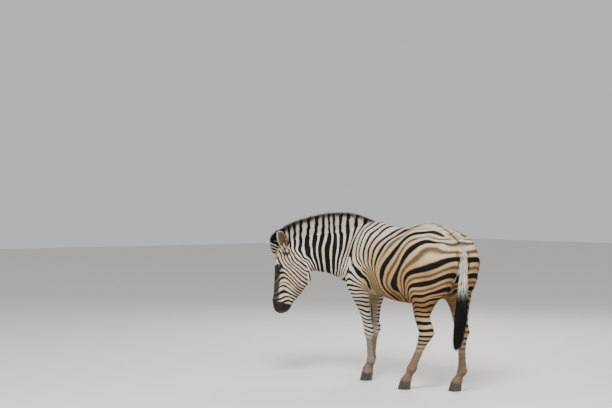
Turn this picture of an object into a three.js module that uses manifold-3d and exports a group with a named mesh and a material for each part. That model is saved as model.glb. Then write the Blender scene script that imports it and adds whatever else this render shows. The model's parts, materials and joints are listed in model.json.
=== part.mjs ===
// A plains zebra at life size, standing still. Its neck is bent to its left and its head hangs straight down.
// Millimetres, +Z up. The animal faces -Y, its left side is +X, and the floor is z = 0.
//
// Flesh is modelled as sweeps: a row of stations, each an egg-shaped section, joined by a smooth curve. The sweeps
// melt into one body, which is turned into facets on a grid and then parted by thin plane cuts into named pieces.
import * as THREE from "three";
import { mergeVertices } from "three/addons/utils/BufferGeometryUtils.js";
import Module from "manifold-3d";

const wasm = await Module();
wasm.setup();

// ---------------------------------------------------------------- driving dimensions
const GAP = 0.4; // left between two pieces that meet
const SIDES = { left: 1, right: -1 };

const HOOF_HEIGHT = 78; // at the toe
const HOOF_HALF_WIDTH = 43;
const EYE_RADIUS = 21;
const EAR_LENGTH = 180;

const NECK_LENGTH = 815; // along its own line, from the withers to the poll
const NECK_TURN = 60; // degrees to the animal's left at the poll
const NECK_BEND_END = 0.5; // share of the neck's length in which it turns
const POLL_HEIGHT = 1082;
const HEAD_TURN = 53; // degrees to the left that the face points
const HEAD_TIP_FORWARD = 3; // degrees that the hanging head swings its nose forward of straight down

// ---------------------------------------------------------------- sweeps of flesh
const vector = (x, y, z) => new THREE.Vector3(x, y, z);

/** One number of a Catmull-Rom curve through b and c. */
function between(a, b, c, d, t) {
  const m0 = (c - a) / 2;
  const m1 = (d - b) / 2;
  const t2 = t * t;
  const t3 = t2 * t;
  return b * (2 * t3 - 3 * t2 + 1) + m0 * (t3 - 2 * t2 + t) + c * (3 * t2 - 2 * t3) + m1 * (t3 - t2);
}

/** Adds steps between stations, so that straight pieces between them follow one smooth curve. */
function refined(stations, steps) {
  const rows = stations.map((s) => [...s.at, s.side, s.over, s.under]);
  const found = [];
  for (let i = 0; i + 1 < rows.length; i++) {
    const a = rows[Math.max(i - 1, 0)];
    const d = rows[Math.min(i + 2, rows.length - 1)];
    for (let k = 0; k < steps; k++) {
      found.push(rows[i].map((_, j) => between(a[j], rows[i][j], rows[i + 1][j], d[j], k / steps)));
    }
  }
  found.push(rows.at(-1));
  return found.map(([x, y, z, side, over, under]) => ({ at: vector(x, y, z), side, over, under }));
}

/**
 * A sweep through stations { at: [x, y, z], side, over, under }: side is the half-width along the lateral axis, over
 * and under are the depths to each side of the station's point, along lateral x travel. Without a lateral axis of its
 * own, a sweep takes the level one across its travel. square above 2 makes the sections boxier.
 */
class Sweep {
  constructor(stations, { lateral = null, square = 2, steps = 3, blend = 40 } = {}) {
    this.rings = refined(stations, steps);
    this.square = square;
    this.blend = blend;
    this.box = new THREE.Box3();
    this.rings.forEach((ring, i) => {
      const before = this.rings[Math.max(i - 1, 0)].at;
      const after = this.rings[Math.min(i + 1, this.rings.length - 1)].at;
      ring.travel = after.clone().sub(before).normalize();
      const level = vector(0, 0, 1);
      ring.lateral = (lateral ?? ring.travel.clone().cross(level)).clone().normalize();
      ring.over_axis = ring.lateral.clone().cross(ring.travel).normalize();
      const reach = Math.max(ring.side, ring.over, ring.under);
      this.box.expandByPoint(ring.at.clone().addScalar(reach));
      this.box.expandByPoint(ring.at.clone().subScalar(reach));
    });
  }

  /** About how far p lies outside the sweep, negative inside it. */
  distance(p) {
    if (this.box.distanceToPoint(p) > this.blend + 80) return Infinity;
    let nearest = Infinity;
    let beyond = Infinity; // for a point between no two section planes
    const q = vector(0, 0, 0);
    const step = vector(0, 0, 0);
    const turn = vector(0, 0, 0);
    for (let i = 0; i + 1 < this.rings.length; i++) {
      const a = this.rings[i];
      const b = this.rings[i + 1];
      step.subVectors(b.at, a.at);
      turn.subVectors(b.travel, a.travel);
      q.subVectors(p, a.at);
      // The share t of the way between two section planes that turn into each other solves a quadratic.
      const ahead = q.dot(a.travel);
      const rate = q.dot(turn) - step.dot(a.travel);
      const root = -rate + Math.sqrt(Math.max(rate * rate + 4 * step.dot(turn) * ahead, 0));
      const free = root > 1e-6 ? (2 * ahead) / root : ahead > 0 ? 2 : 0;
      const t = THREE.MathUtils.clamp(free, 0, 1);
      const held = (free < 0 && i > 0) || (free > 1 && i + 2 < this.rings.length);
      const mix = (from, to) => from + (to - from) * t;
      q.addScaledVector(step, -t);
      const across = mix(q.dot(a.lateral), q.dot(b.lateral));
      const up = mix(q.dot(a.over_axis), q.dot(b.over_axis));
      const along = mix(q.dot(a.travel), q.dot(b.travel));
      const side = mix(a.side, b.side);
      const height = up > 0 ? mix(a.over, b.over) : mix(a.under, b.under);
      const n = this.square;
      const section = Math.pow(Math.pow(Math.abs(across) / side, n) + Math.pow(Math.abs(up) / height, n), 1 / n);
      const share = Math.hypot(section, along / Math.min(side, height));
      const length = q.length();
      const d = share > 1e-6 ? length * (1 - 1 / share) : -Math.min(side, height);
      if (!held) nearest = Math.min(nearest, d);
      beyond = Math.min(beyond, d);
    }
    return Number.isFinite(nearest) ? nearest : beyond;
  }
}

/** The union of two forms, with the crease between them filled over about the width of blend. */
function melt(a, b, blend) {
  if (!Number.isFinite(a) || !Number.isFinite(b)) return Math.min(a, b);
  const h = Math.max(blend - Math.abs(a - b), 0) / blend;
  return Math.min(a, b) - (h * h * blend) / 4;
}

const meltAll = (sweeps) => (p) => sweeps.reduce((d, s) => melt(d, s.distance(p), s.blend), Infinity);

const station = (x, y, z, side, over, under = over) => ({ at: [x, y, z], side, over, under });

// ---------------------------------------------------------------- the trunk
const ACROSS = vector(1, 0, 0); // lateral axis of what stands square to the trunk: over then means up, or to the rear

/** A station of the barrel at y, from its top and bottom heights. */
const hoop = (y, top, bottom, side) => station(0, y, (top + bottom) / 2, side, (top - bottom) / 2);

function barrel() {
  const hoops = [
    hoop(-200, 1110, 850, 115),
    hoop(-120, 1180, 765, 165),
    hoop(0, 1205, 705, 205),
    hoop(160, 1200, 680, 245),
    hoop(320, 1195, 655, 285),
    hoop(460, 1198, 648, 300),
    hoop(580, 1215, 668, 286),
    hoop(690, 1220, 730, 258),
    hoop(790, 1175, 840, 220),
    hoop(870, 1110, 900, 165),
  ];
  return new Sweep(hoops, { lateral: ACROSS, square: 2.2, blend: 60 });
}

function spine() {
  const ridge = [
    station(0, -150, 1165, 50, 60),
    station(0, -20, 1188, 52, 72),
    station(0, 110, 1178, 55, 72),
    station(0, 250, 1160, 70, 62),
    station(0, 390, 1168, 82, 62),
    station(0, 560, 1190, 95, 68),
    station(0, 665, 1200, 100, 70),
    station(0, 770, 1166, 90, 66),
    station(0, 860, 1108, 70, 60),
    station(0, 915, 1062, 46, 46),
  ];
  return new Sweep(ridge, { lateral: ACROSS, blend: 90 });
}

function breast() {
  const stations = [station(0, -150, 960, 130, 130, 120), station(0, -170, 850, 105, 95, 80)];
  return new Sweep(stations, { lateral: ACROSS, blend: 90 });
}

function shoulder(side) {
  const swing = side * 30; // the right leg is forward
  const blade = [
    station(side * 95, 20, 1130, 62, 95, 90),
    station(side * 140, -60, 1010, 75, 120, 105),
    station(side * 148, -140 + swing, 900, 78, 110, 88),
    station(side * 140, -90 + swing, 810, 78, 110, 95),
  ];
  return new Sweep(blade, { lateral: ACROSS, blend: 70 });
}

function haunch(side) {
  const swing = side * -45; // the left leg is forward
  const rump = [
    station(side * 115, 640, 1100, 125, 125, 160),
    station(side * 112, 760, 1070, 128, 118, 160),
    station(side * 102, 855, 1020, 116, 105, 130),
  ];
  const rear = [
    station(side * 98, 838, 1075, 100, 118),
    station(side * 107, 825, 985, 132, 168),
    station(side * 115, 818, 865, 120, 158),
    station(side * 130, 772 + swing * 0.2, 788, 84, 122),
    station(side * 148, 752 + swing * 0.8, 715, 58, 98),
  ];
  const front = [
    station(side * 150, 700, 1000, 105, 110),
    station(side * 174, 660 + swing * 0.6, 890, 88, 108),
    station(side * 170, 690 + swing, 785, 72, 95),
  ];
  return [
    new Sweep(rump, { lateral: ACROSS, blend: 90 }),
    new Sweep(rear, { lateral: ACROSS, blend: 70 }),
    new Sweep(front, { lateral: ACROSS, blend: 80 }),
  ];
}

// ---------------------------------------------------------------- the legs
// A leg is a row of joints, and a profile of sections placed on its bones: [bone, share along it, bow, half width,
// depth to the rear, depth to the front]. The bow is how much of the leg's own bow, in mm to the rear, is added there.
const FORE_PROFILE = [
  [0, 0.0, 0, 78, 100, 95],
  [0, 0.28, 0.5, 62, 80, 76],
  [0, 0.5, 1, 47, 60, 56],
  [0, 0.7, 1, 39, 47, 45],
  [0, 0.9, 0.4, 35, 39, 38],
  [1, 0.0, 0, 39, 42, 42],
  [1, 0.14, 0, 34, 39, 35],
  [1, 0.35, 0, 26, 33, 26],
  [1, 0.75, 0, 25, 33, 26],
  [1, 0.92, 0, 30, 38, 30],
  [2, 0.0, 0, 34, 40, 32],
  [2, 0.4, 0, 28, 31, 27],
  [2, 0.8, 0, 36, 37, 35],
  [2, 1.0, 0, 39, 40, 39],
];
const HIND_PROFILE = [
  [0, 0.0, 0, 74, 106, 105],
  [0, 0.25, 0.6, 59, 94, 90],
  [0, 0.45, 1, 57, 88, 80],
  [0, 0.62, 1, 49, 76, 68],
  [0, 0.85, 0.6, 42, 64, 54],
  [1, 0.0, 0, 43, 58, 56],
  [1, 0.14, 0, 41, 52, 52],
  [1, 0.3, 0, 33, 42, 38],
  [1, 0.45, 0, 27, 38, 32],
  [1, 0.75, 0, 26, 37, 31],
  [1, 0.92, 0, 31, 42, 34],
  [2, 0.0, 0, 35, 42, 35],
  [2, 0.4, 0, 29, 32, 29],
  [2, 0.8, 0, 37, 38, 37],
  [2, 1.0, 0, 40, 41, 40],
];

/** joints: upper end, knee or hock, fetlock, hoof top, each [x, y, z] on the left side. */
const LEGS = {
  fore_left: { side: 1, bow: 10, joints: [[138, -95, 790], [93, -3, 405], [88, 14, 162], [88, -26, 66]] },
  fore_right: { side: -1, bow: -8, joints: [[118, -160, 790], [89, -142, 408], [84, -182, 162], [84, -226, 66]] },
  hind_left: { side: 1, bow: -42, joints: [[154, 742, 760], [126, 722, 445], [143, 575, 168], [147, 514, 66]] },
  hind_right: { side: -1, bow: -4, joints: [[146, 785, 760], [111, 852, 450], [105, 866, 165], [105, 808, 66]] },
};

function legStations({ side, bow, joints }, profile) {
  return profile.map(([bone, share, bowed, half, rear, front]) => {
    const at = vector(...joints[bone]).lerp(vector(...joints[bone + 1]), share);
    return station(side * at.x, at.y + bow * bowed, at.z, half, rear, front);
  });
}

function leg(name) {
  const fore = name.startsWith("fore");
  const stations = legStations(LEGS[name], fore ? FORE_PROFILE : HIND_PROFILE);
  return new Sweep(stations, { lateral: ACROSS, square: 2.1, blend: fore ? 55 : 65 });
}

/** The point of the hock, or the small bone behind the knee. */
function heelBone(name) {
  const { side, joints } = LEGS[name];
  const [x, y, z] = joints[1];
  const fore = name.startsWith("fore");
  const top = fore ? station(side * x, y + 32, z + 12, 20, 16) : station(side * x, y + 42, z + 70, 18, 20);
  const tip = fore ? station(side * x, y + 32, z - 22, 20, 16) : station(side * x, y + 58, z + 4, 24, 24);
  return new Sweep([top, tip], { lateral: ACROSS, blend: 30 });
}

// ---------------------------------------------------------------- the neck
/** Where the neck's line is at a share of its length: its place in plan, and the way it points. */
function neckPlan(share) {
  const pieces = 40;
  const at = vector(0, 0, 0);
  let turn = 0;
  for (let i = 0; i < pieces; i++) {
    const here = (share * (i + 0.5)) / pieces;
    turn = THREE.MathUtils.degToRad(NECK_TURN) * THREE.MathUtils.smoothstep(here, 0, NECK_BEND_END);
    at.x += (Math.sin(turn) * share * NECK_LENGTH) / pieces;
    at.y -= (Math.cos(turn) * share * NECK_LENGTH) / pieces;
  }
  return { at, turn };
}

/** share of the neck's length: top and bottom height, half-width. */
const NECK_PROFILE = [
  [0.0, 1238, 800, 150],
  [0.2, 1230, 775, 142],
  [0.35, 1212, 786, 128],
  [0.45, 1200, 822, 118],
  [0.55, 1188, 852, 108],
  [0.66, 1174, 866, 99],
  [0.78, 1156, 876, 92],
  [0.9, 1130, 886, 86],
  [0.98, 1098, 900, 76],
];

function neck() {
  const stations = NECK_PROFILE.map(([share, top, bottom, side]) => {
    const { at } = neckPlan(share);
    const middle = bottom + (top - bottom) * 0.5;
    return station(at.x, at.y, middle, side, top - middle, middle - bottom);
  });
  return new Sweep(stations, { square: 1.9, blend: 110 });
}

// ---------------------------------------------------------------- the head
// The head has its own frame: s runs from the poll to the lips, out is towards the face's front, and side is its left.
const headFrame = new THREE.Group();
{
  const { at } = neckPlan(1);
  headFrame.position.set(at.x, at.y, POLL_HEIGHT);
  const turn = THREE.MathUtils.degToRad(HEAD_TURN);
  const tip = THREE.MathUtils.degToRad(HEAD_TIP_FORWARD);
  const forward = vector(Math.sin(turn), -Math.cos(turn), 0);
  const down = vector(0, 0, -1).multiplyScalar(Math.cos(tip)).addScaledVector(forward, Math.sin(tip));
  const left = vector(0, 0, 1).cross(forward);
  headFrame.up.copy(left);
  headFrame.quaternion.setFromRotationMatrix(new THREE.Matrix4().makeBasis(left, down.clone().cross(left), down));
  headFrame.updateMatrixWorld(true);
}
const headLateral = vector(1, 0, 0).transformDirection(headFrame.matrixWorld);
/** A point given in the head's frame: side to its left, out to the front of the face, s down to the lips. */
const onHead = (side, out, s) => vector(side, out, s).applyMatrix4(headFrame.matrixWorld);

/** A station of the head: out is where its section is centred, front and back its depths from there. */
function headStation(s, side, front, back, shift = 0, out = 0) {
  return station(...onHead(shift, out, s).toArray(), side, back, front);
}

const skull = () =>
  new Sweep(
    [
      headStation(20, 62, 48, 95),
      headStation(80, 84, 64, 130),
      headStation(150, 91, 73, 145),
      headStation(205, 88, 73, 140),
      headStation(275, 76, 72, 120),
      headStation(350, 62, 72, 105),
      headStation(425, 55, 70, 90),
      headStation(468, 57, 71, 78),
      headStation(500, 58, 64, 66),
    ],
    { lateral: headLateral, square: 2.2, blend: 45 },
  );

/** The two flat cheeks and the jaw's bar below them. */
function cheeks() {
  const disc = (shift) => [
    headStation(165, 34, 60, 84, shift, -115),
    headStation(215, 38, 85, 106, shift, -118),
    headStation(262, 40, 88, 108, shift, -118),
    headStation(315, 36, 85, 78, shift, -106),
    headStation(370, 28, 60, 60, shift, -92),
  ];
  const bar = [
    headStation(230, 56, 70, 92, 0, -128),
    headStation(310, 50, 70, 76, 0, -108),
    headStation(390, 40, 60, 56, 0, -80),
    headStation(450, 36, 50, 36, 0, -52),
  ];
  return [
    new Sweep(disc(38), { lateral: headLateral, blend: 40 }),
    new Sweep(disc(-38), { lateral: headLateral, blend: 40 }),
    new Sweep(bar, { lateral: headLateral, blend: 40 }),
  ];
}

/** The brow over each eye. */
function brow(side) {
  const ridge = [headStation(132, 20, 22, 24, side * 72, 42), headStation(168, 18, 18, 20, side * 80, 46)];
  return new Sweep(ridge, { lateral: headLateral, blend: 40 });
}

/** The round muzzle: the upper lip's nose, the lower lip and the chin. */
function muzzle() {
  const nose = [headStation(455, 58, 56, 50, 0, 10), headStation(490, 57, 50, 44, 0, 8)];
  const chin = [headStation(455, 40, 40, 34, 0, -44), headStation(492, 38, 32, 30, 0, -44)];
  return [new Sweep(nose, { lateral: headLateral, blend: 40 }), new Sweep(chin, { lateral: headLateral, blend: 26 })];
}

const EYE_AT = { side: 84, out: 36, s: 176 };
const eyeCentre = (side) => onHead(side * EYE_AT.side, EYE_AT.out, EYE_AT.s);

/** share of an ear's length: half-width, depth behind its middle line, and how far round its edges come. */
const EAR_PROFILE = [
  [-0.16, 24, 24, 172],
  [0.02, 28, 30, 168],
  [0.2, 34, 34, 148],
  [0.4, 39, 33, 120],
  [0.6, 40, 29, 102],
  [0.78, 36, 22, 92],
  [0.91, 25, 13, 84],
  [1.0, 8, 4, 80],
];
/** Which way each ear points and opens in the head's frame: to its own side, to the face's front, and down. */
const EAR_POSES = {
  1: { lean: [0.22, 0.4, -0.89], facing: [0.9, 0.3, 0.3] },
  "-1": { lean: [0.45, 0.66, -0.6], facing: [0.75, 0.3, 0.6] },
};
const EAR_THICKNESS = 5;
const EAR_STEPS = 7; // across the leaf

/** An ear is a leaf bent into a cup. Its root and its lean are in the head's frame, like the way its mouth faces. */
function earLeaf(side) {
  const root = onHead(side * 58, -22, 48);
  const { lean, facing } = EAR_POSES[side];
  const up = vector(side * lean[0], lean[1], lean[2]).transformDirection(headFrame.matrixWorld);
  const mouth = vector(side * facing[0], facing[1], facing[2]).transformDirection(headFrame.matrixWorld);
  mouth.addScaledVector(up, -mouth.dot(up)).normalize();
  const lateral = up.clone().cross(mouth);
  const ring = [];
  for (const [share, wide, deep, edge] of EAR_PROFILE) {
    const arc = (inset, order) =>
      order.map((step) => {
        const angle = THREE.MathUtils.degToRad(edge) * ((2 * step) / EAR_STEPS - 1);
        return root
          .clone()
          .addScaledVector(up, share * EAR_LENGTH)
          .addScaledVector(lateral, (wide - inset) * Math.sin(angle))
          .addScaledVector(mouth, -(deep - inset) * Math.cos(angle));
      });
    const steps = [...Array(EAR_STEPS + 1).keys()];
    const inset = Math.min(EAR_THICKNESS, deep * 0.6);
    ring.push([...arc(0, steps), ...arc(inset, steps.toReversed())]);
  }
  const around = ring[0].length;
  const points = ring.flat().flatMap((p) => p.toArray());
  const triangles = [];
  const quad = (a, b, c, d) => triangles.push(a, b, c, a, c, d);
  for (let row = 0; row + 1 < ring.length; row++) {
    for (let i = 0; i < around; i++) {
      const next = (i + 1) % around;
      quad(row * around + i, row * around + next, (row + 1) * around + next, (row + 1) * around + i);
    }
  }
  const last = (ring.length - 1) * around;
  for (let i = 0; i < EAR_STEPS; i++) {
    quad(i + 1, i, around - 1 - i, around - 2 - i);
    quad(last + i, last + i + 1, last + around - 2 - i, last + around - 1 - i);
  }
  const geometry = new THREE.BufferGeometry();
  geometry.setAttribute("position", new THREE.Float32BufferAttribute(points, 3));
  geometry.setIndex(triangles.toReversed());
  return solidOf(geometry);
}

// ---------------------------------------------------------------- mane and tail
/** share of the neck's length: height of the hair's root, and how far it stands up. */
const MANE_PROFILE = [
  [0.04, 1240, 24],
  [0.13, 1234, 66],
  [0.27, 1220, 116],
  [0.43, 1202, 142],
  [0.6, 1182, 150],
  [0.76, 1160, 142],
  [0.9, 1130, 132],
  [0.98, 1100, 122],
];
/** The mane's end over the forehead, in the head's frame: out, s, and how far the hair stands up. */
const FORELOCK_PROFILE = [
  [22, 4, 112],
  [44, 40, 80],
  [54, 76, 46],
];
const MANE_HALF_WIDTH = 30;

function mane() {
  const stations = MANE_PROFILE.map(([share, root, height]) => {
    const { at } = neckPlan(share);
    return station(at.x, at.y, root, MANE_HALF_WIDTH, height, 30);
  });
  for (const [out, s, height] of FORELOCK_PROFILE) {
    stations.push(station(...onHead(0, out, s).toArray(), MANE_HALF_WIDTH * 0.85, height, 26));
  }
  return new Sweep(stations, { square: 2.4, steps: 2 });
}

const TAIL_PROFILE = [
  [0, 890, 1085, 40, 38],
  [0, 942, 1074, 36, 34],
  [1, 983, 1030, 32, 31],
  [3, 1000, 955, 32, 31],
  [10, 1003, 860, 36, 36],
  [20, 1000, 760, 40, 39],
  [32, 997, 660, 41, 40],
  [45, 992, 560, 37, 36],
  [56, 988, 460, 31, 30],
  [63, 985, 380, 23, 22],
  [67, 983, 330, 10, 10],
];
const TUFT_TOP = 760; // height below which the tail is all long hair

function tail() {
  const stations = TAIL_PROFILE.map(([x, y, z, side, depth]) => station(x, y, z, side, depth));
  return new Sweep(stations, { lateral: ACROSS, steps: 2 });
}

// ---------------------------------------------------------------- facets
/**
 * The surface where a form's distance is zero, inside a box, as closed facets: one point in each grid cell that the
 * surface crosses, and one four-sided face on each grid line that it crosses.
 */
function facetsOnGrid(distance, box, cell) {
  const counts = ["x", "y", "z"].map((k) => Math.ceil((box.max[k] - box.min[k]) / cell[k]) + 1);
  const [nx, ny, nz] = counts;
  const index = (i, j, k) => i + nx * (j + ny * k);
  const place = (i, j, k) => vector(box.min.x + i * cell.x, box.min.y + j * cell.y, box.min.z + k * cell.z);
  const values = new Float32Array(nx * ny * nz);
  for (let k = 0; k < nz; k++) {
    for (let j = 0; j < ny; j++) {
      for (let i = 0; i < nx; i++) {
        const edge = i === 0 || j === 0 || k === 0 || i === nx - 1 || j === ny - 1 || k === nz - 1;
        values[index(i, j, k)] = edge ? 1 : Math.min(distance(place(i, j, k)), 1e4);
      }
    }
  }
  const pointOf = new Int32Array(values.length).fill(-1);
  const points = [];
  const corners = [0, 1, 2, 3, 4, 5, 6, 7].map((c) => [c & 1, (c >> 1) & 1, c >> 2]);
  const cellEdges = corners.flatMap((a, m) =>
    corners.slice(m + 1).flatMap((b) => (a.filter((v, d) => v !== b[d]).length === 1 ? [[a, b]] : [])),
  );
  for (let k = 0; k + 1 < nz; k++) {
    for (let j = 0; j + 1 < ny; j++) {
      for (let i = 0; i + 1 < nx; i++) {
        const middle = vector(0, 0, 0);
        let crossings = 0;
        for (const [a, b] of cellEdges) {
          const va = values[index(i + a[0], j + a[1], k + a[2])];
          const vb = values[index(i + b[0], j + b[1], k + b[2])];
          if (va < 0 === vb < 0) continue;
          const from = place(i + a[0], j + a[1], k + a[2]);
          middle.add(from.lerp(place(i + b[0], j + b[1], k + b[2]), va / (va - vb)));
          crossings++;
        }
        if (!crossings) continue;
        pointOf[index(i, j, k)] = points.length / 3;
        points.push(...middle.divideScalar(crossings).toArray());
      }
    }
  }
  const triangles = [];
  const steps = [index(1, 0, 0), index(0, 1, 0), index(0, 0, 1)];
  const gapBetween = (a, b) => Math.hypot(...[0, 1, 2].map((d) => points[3 * a + d] - points[3 * b + d]));
  for (let at = 0; at < values.length; at++) {
    for (let axis = 0; axis < 3; axis++) {
      const next = at + steps[axis];
      if (next >= values.length || values[at] < 0 === values[next] < 0) continue;
      const u = steps[(axis + 1) % 3];
      const v = steps[(axis + 2) % 3];
      const quad = [at - u - v, at - v, at, at - u].map((n) => pointOf[n]);
      if (quad.some((n) => n === undefined || n < 0)) continue;
      if (values[at] >= 0) quad.reverse();
      const [a, b, c, d] = quad;
      if (gapBetween(a, c) < gapBetween(b, d)) triangles.push(a, b, c, a, c, d);
      else triangles.push(a, b, d, b, c, d);
    }
  }
  const geometry = new THREE.BufferGeometry();
  geometry.setAttribute("position", new THREE.Float32BufferAttribute(points, 3));
  geometry.setIndex(triangles);
  return geometry;
}

/** Whether two sheets of the surface touch along an edge, where it isn't one closed surface. */
function hasSharedEdge(geometry) {
  const faces = geometry.index.array;
  const uses = new Map();
  for (let i = 0; i < faces.length; i++) {
    const next = i % 3 === 2 ? i - 2 : i + 1;
    const key = [faces[i], faces[next]].sort((a, b) => a - b).join();
    uses.set(key, (uses.get(key) ?? 0) + 1);
  }
  return [...uses.values()].some((count) => count !== 2);
}

/** A lone sweep as facets laid directly on its rings, with both ends closed. */
function loft({ rings, square }, around) {
  const points = rings.flatMap((ring) =>
    [...Array(around).keys()].flatMap((i) => {
      const angle = (2 * Math.PI * i) / around;
      const reach = (value) => Math.sign(value) * Math.pow(Math.abs(value), 2 / square);
      const up = reach(Math.sin(angle));
      const at = ring.at.clone().addScaledVector(ring.lateral, ring.side * reach(Math.cos(angle)));
      return at.addScaledVector(ring.over_axis, up * (up > 0 ? ring.over : ring.under)).toArray();
    }),
  );
  points.push(...rings[0].at.toArray(), ...rings.at(-1).at.toArray());
  const faces = [];
  const last = (rings.length - 1) * around;
  for (let i = 0; i < around; i++) {
    const next = (i + 1) % around;
    for (let ring = 0; ring < last; ring += around) {
      faces.push(ring + i, ring + around + i, ring + around + next, ring + i, ring + around + next, ring + next);
    }
    faces.push(rings.length * around, i, next, rings.length * around + 1, last + next, last + i);
  }
  const geometry = new THREE.BufferGeometry();
  geometry.setAttribute("position", new THREE.Float32BufferAttribute(points, 3));
  geometry.setIndex(faces);
  return solidOf(geometry);
}

/** Facets of a form, on the first of a few grid places that gives one closed surface. */
function facets(distance, box, cell) {
  for (let step = 0; step < 16; step++) {
    const moved = box.clone();
    moved.min.addScaledVector(vector(cell.x, cell.y, cell.z), -step / 16);
    const geometry = facetsOnGrid(distance, moved, cell);
    if (!hasSharedEdge(geometry)) return geometry;
  }
  throw new Error("no grid place gives one closed surface");
}

// ---------------------------------------------------------------- cutting
function solidOf(geometry) {
  const bare = geometry.clone();
  bare.deleteAttribute("normal");
  bare.deleteAttribute("uv");
  const merged = mergeVertices(bare, 1e-3);
  const mesh = new wasm.Mesh({
    numProp: 3,
    vertProperties: merged.attributes.position.array,
    triVerts: new Uint32Array(merged.index.array),
  });
  return new wasm.Manifold(mesh);
}

/** A solid as triangles, with corners nearer than a hundredth of a millimetre made one. */
function geometryOf(solid) {
  const mesh = solid.getMesh();
  const points = new Float32Array(mesh.numVert * 3);
  for (let i = 0; i < mesh.numVert; i++) {
    for (let axis = 0; axis < 3; axis++) {
      points[3 * i + axis] = Math.round(mesh.vertProperties[i * mesh.numProp + axis] * 100) / 100;
    }
  }
  const loose = new THREE.BufferGeometry();
  loose.setAttribute("position", new THREE.BufferAttribute(points, 3));
  loose.setIndex(new THREE.BufferAttribute(mesh.triVerts, 1));
  const geometry = mergeVertices(loose, 1e-3);
  const corners = geometry.index.array;
  const kept = [];
  for (let i = 0; i < corners.length; i += 3) {
    const [a, b, c] = corners.subarray(i, i + 3);
    if (a !== b && b !== c && c !== a) kept.push(a, b, c);
  }
  geometry.setIndex(kept);
  geometry.computeVertexNormals();
  return geometry;
}

const REACH = 4000; // larger than the animal

/** A block that fills the side of a plane that its normal points away from, less shrink. */
function behind({ point, normal }, shrink = 0) {
  const block = new THREE.BoxGeometry(REACH, REACH, REACH);
  block.translate(0, 0, -REACH / 2 - shrink);
  const turn = new THREE.Quaternion().setFromUnitVectors(vector(0, 0, 1), vector(...normal).normalize());
  block.applyQuaternion(turn);
  block.translate(...point);
  return solidOf(block);
}

/** The space behind all of these planes. */
const space = (planes, shrink) => planes.map((plane) => behind(plane, shrink)).reduce((a, b) => a.intersect(b));

const plane = (point, normal) => ({ point, normal });
const boxAround = (x0, x1, y0, y1, z0, z1) => new THREE.Box3(vector(x0, y0, z0), vector(x1, y1, z1));
const cells = (x, y = x, z = x) => ({ x, y, z });

/** A piece with its skin moved out a little, to cut away what would touch it. */
function swollen(solid, by = 2 * GAP) {
  const geometry = geometryOf(solid);
  const at = geometry.attributes.position;
  const normal = geometry.attributes.normal;
  for (let i = 0; i < at.count; i++) {
    at.setXYZ(i, at.getX(i) + by * normal.getX(i), at.getY(i) + by * normal.getY(i), at.getZ(i) + by * normal.getZ(i));
  }
  return solidOf(geometry);
}

/** The largest piece of a solid, without crumbs that a cut leaves. */
function largest(solid) {
  return solid.decompose().reduce((a, b) => (a.volume() > b.volume() ? a : b));
}

// ---------------------------------------------------------------- the body in pieces
const sides = Object.values(SIDES);
const legNames = Object.keys(LEGS);
const headFlesh = [skull(), ...cheeks(), ...sides.map(brow), ...muzzle()];
const trunkFlesh = [barrel(), spine(), breast(), ...sides.map(shoulder), ...sides.flatMap(haunch)];
const legFlesh = legNames.flatMap((name) => [leg(name), heelBone(name)]);
const body = meltAll([...trunkFlesh, neck(), ...legFlesh, ...headFlesh]);

// Cutting planes. Each leg is behind three: above its top, in front of it and beside the belly.
const legCuts = (name) => {
  const { side, joints } = LEGS[name];
  const fore = name.startsWith("fore");
  return fore
    ? [
        plane([side * 150, 0, 780], [side * -0.5, 0, 1]),
        plane([side * 50, 0, 0], [-side, 0, 0]),
        plane([0, joints[0][1] + 190, 700], [0, 1, 0.4]),
      ]
    : [
        plane([side * 160, joints[0][1], 860], [side * -0.5, 0, 1]),
        plane([side * 12, 0, 0], [-side, 0, 0]),
        plane([0, joints[0][1] - 190, 780], [0, -1, -0.45]),
      ];
};

const kneeCut = (name) => LEGS[name].joints[1][2];
const hoofTop = (name) => {
  const { side, joints } = LEGS[name];
  const [x, y] = joints[3];
  return plane([side * x, y, HOOF_HEIGHT - 12], [0, 0.22, 1]);
};

const neckCut = plane([0, -215, 1000], [0.34, -1, -0.1]);
const headCut = (() => {
  const { at, turn } = neckPlan(0.84);
  return plane([at.x, at.y, 1050], [Math.sin(turn), -Math.cos(turn), -0.25]);
})();
const tuftCut = plane([0, 0, TUFT_TOP], [0, 0, 1]);
const flip = ({ point, normal }) => plane(point, normal.map((n) => -n));
const half = GAP / 2;

const pieces = {};

const withoutLegs = (solid) => legNames.reduce((rest, name) => rest.subtract(space(legCuts(name), -half)), solid);

function makeTrunk() {
  const solid = solidOf(facets(body, boxAround(-400, 420, -460, 1180, 560, 1340), cells(64, 72, 64)));
  return largest(withoutLegs(solid.intersect(behind(neckCut, half))));
}

function makeNeck() {
  const grid = facets(body, boxAround(-230, 760, -760, 60, 720, 1300), cells(50));
  return largest(withoutLegs(solidOf(grid).intersect(space([flip(neckCut), headCut], half))));
}

const headBox = (() => {
  const box = new THREE.Box3().setFromPoints([onHead(-140, 110, -60), onHead(140, -260, 620), onHead(140, 110, -60)]);
  box.expandByPoint(onHead(-140, -260, 620));
  return box.expandByScalar(30);
})();

function makeHead() {
  const grid = facets(body, headBox, cells(34));
  let solid = solidOf(grid).intersect(behind(flip(headCut), half));
  for (const side of sides) solid = solid.subtract(ball(eyeCentre(side), EYE_RADIUS + GAP));
  return largest(solid);
}

/** The jaw lies behind a plane from between the lips to above the cheeks' round corner. */
const jawCut = (() => {
  const point = onHead(0, -42, 545).toArray();
  const normal = vector(0, 1, -0.34).transformDirection(headFrame.matrixWorld).toArray();
  return plane(point, normal);
})();

function ball(at, radius) {
  const round = new THREE.SphereGeometry(radius, 10, 7);
  return solidOf(round.translate(...at.toArray()));
}

/** What is left of a piece outside its neighbours. */
const outside = (solid, names) => largest(names.reduce((rest, name) => rest.subtract(swollen(pieces[name])), solid));

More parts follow.
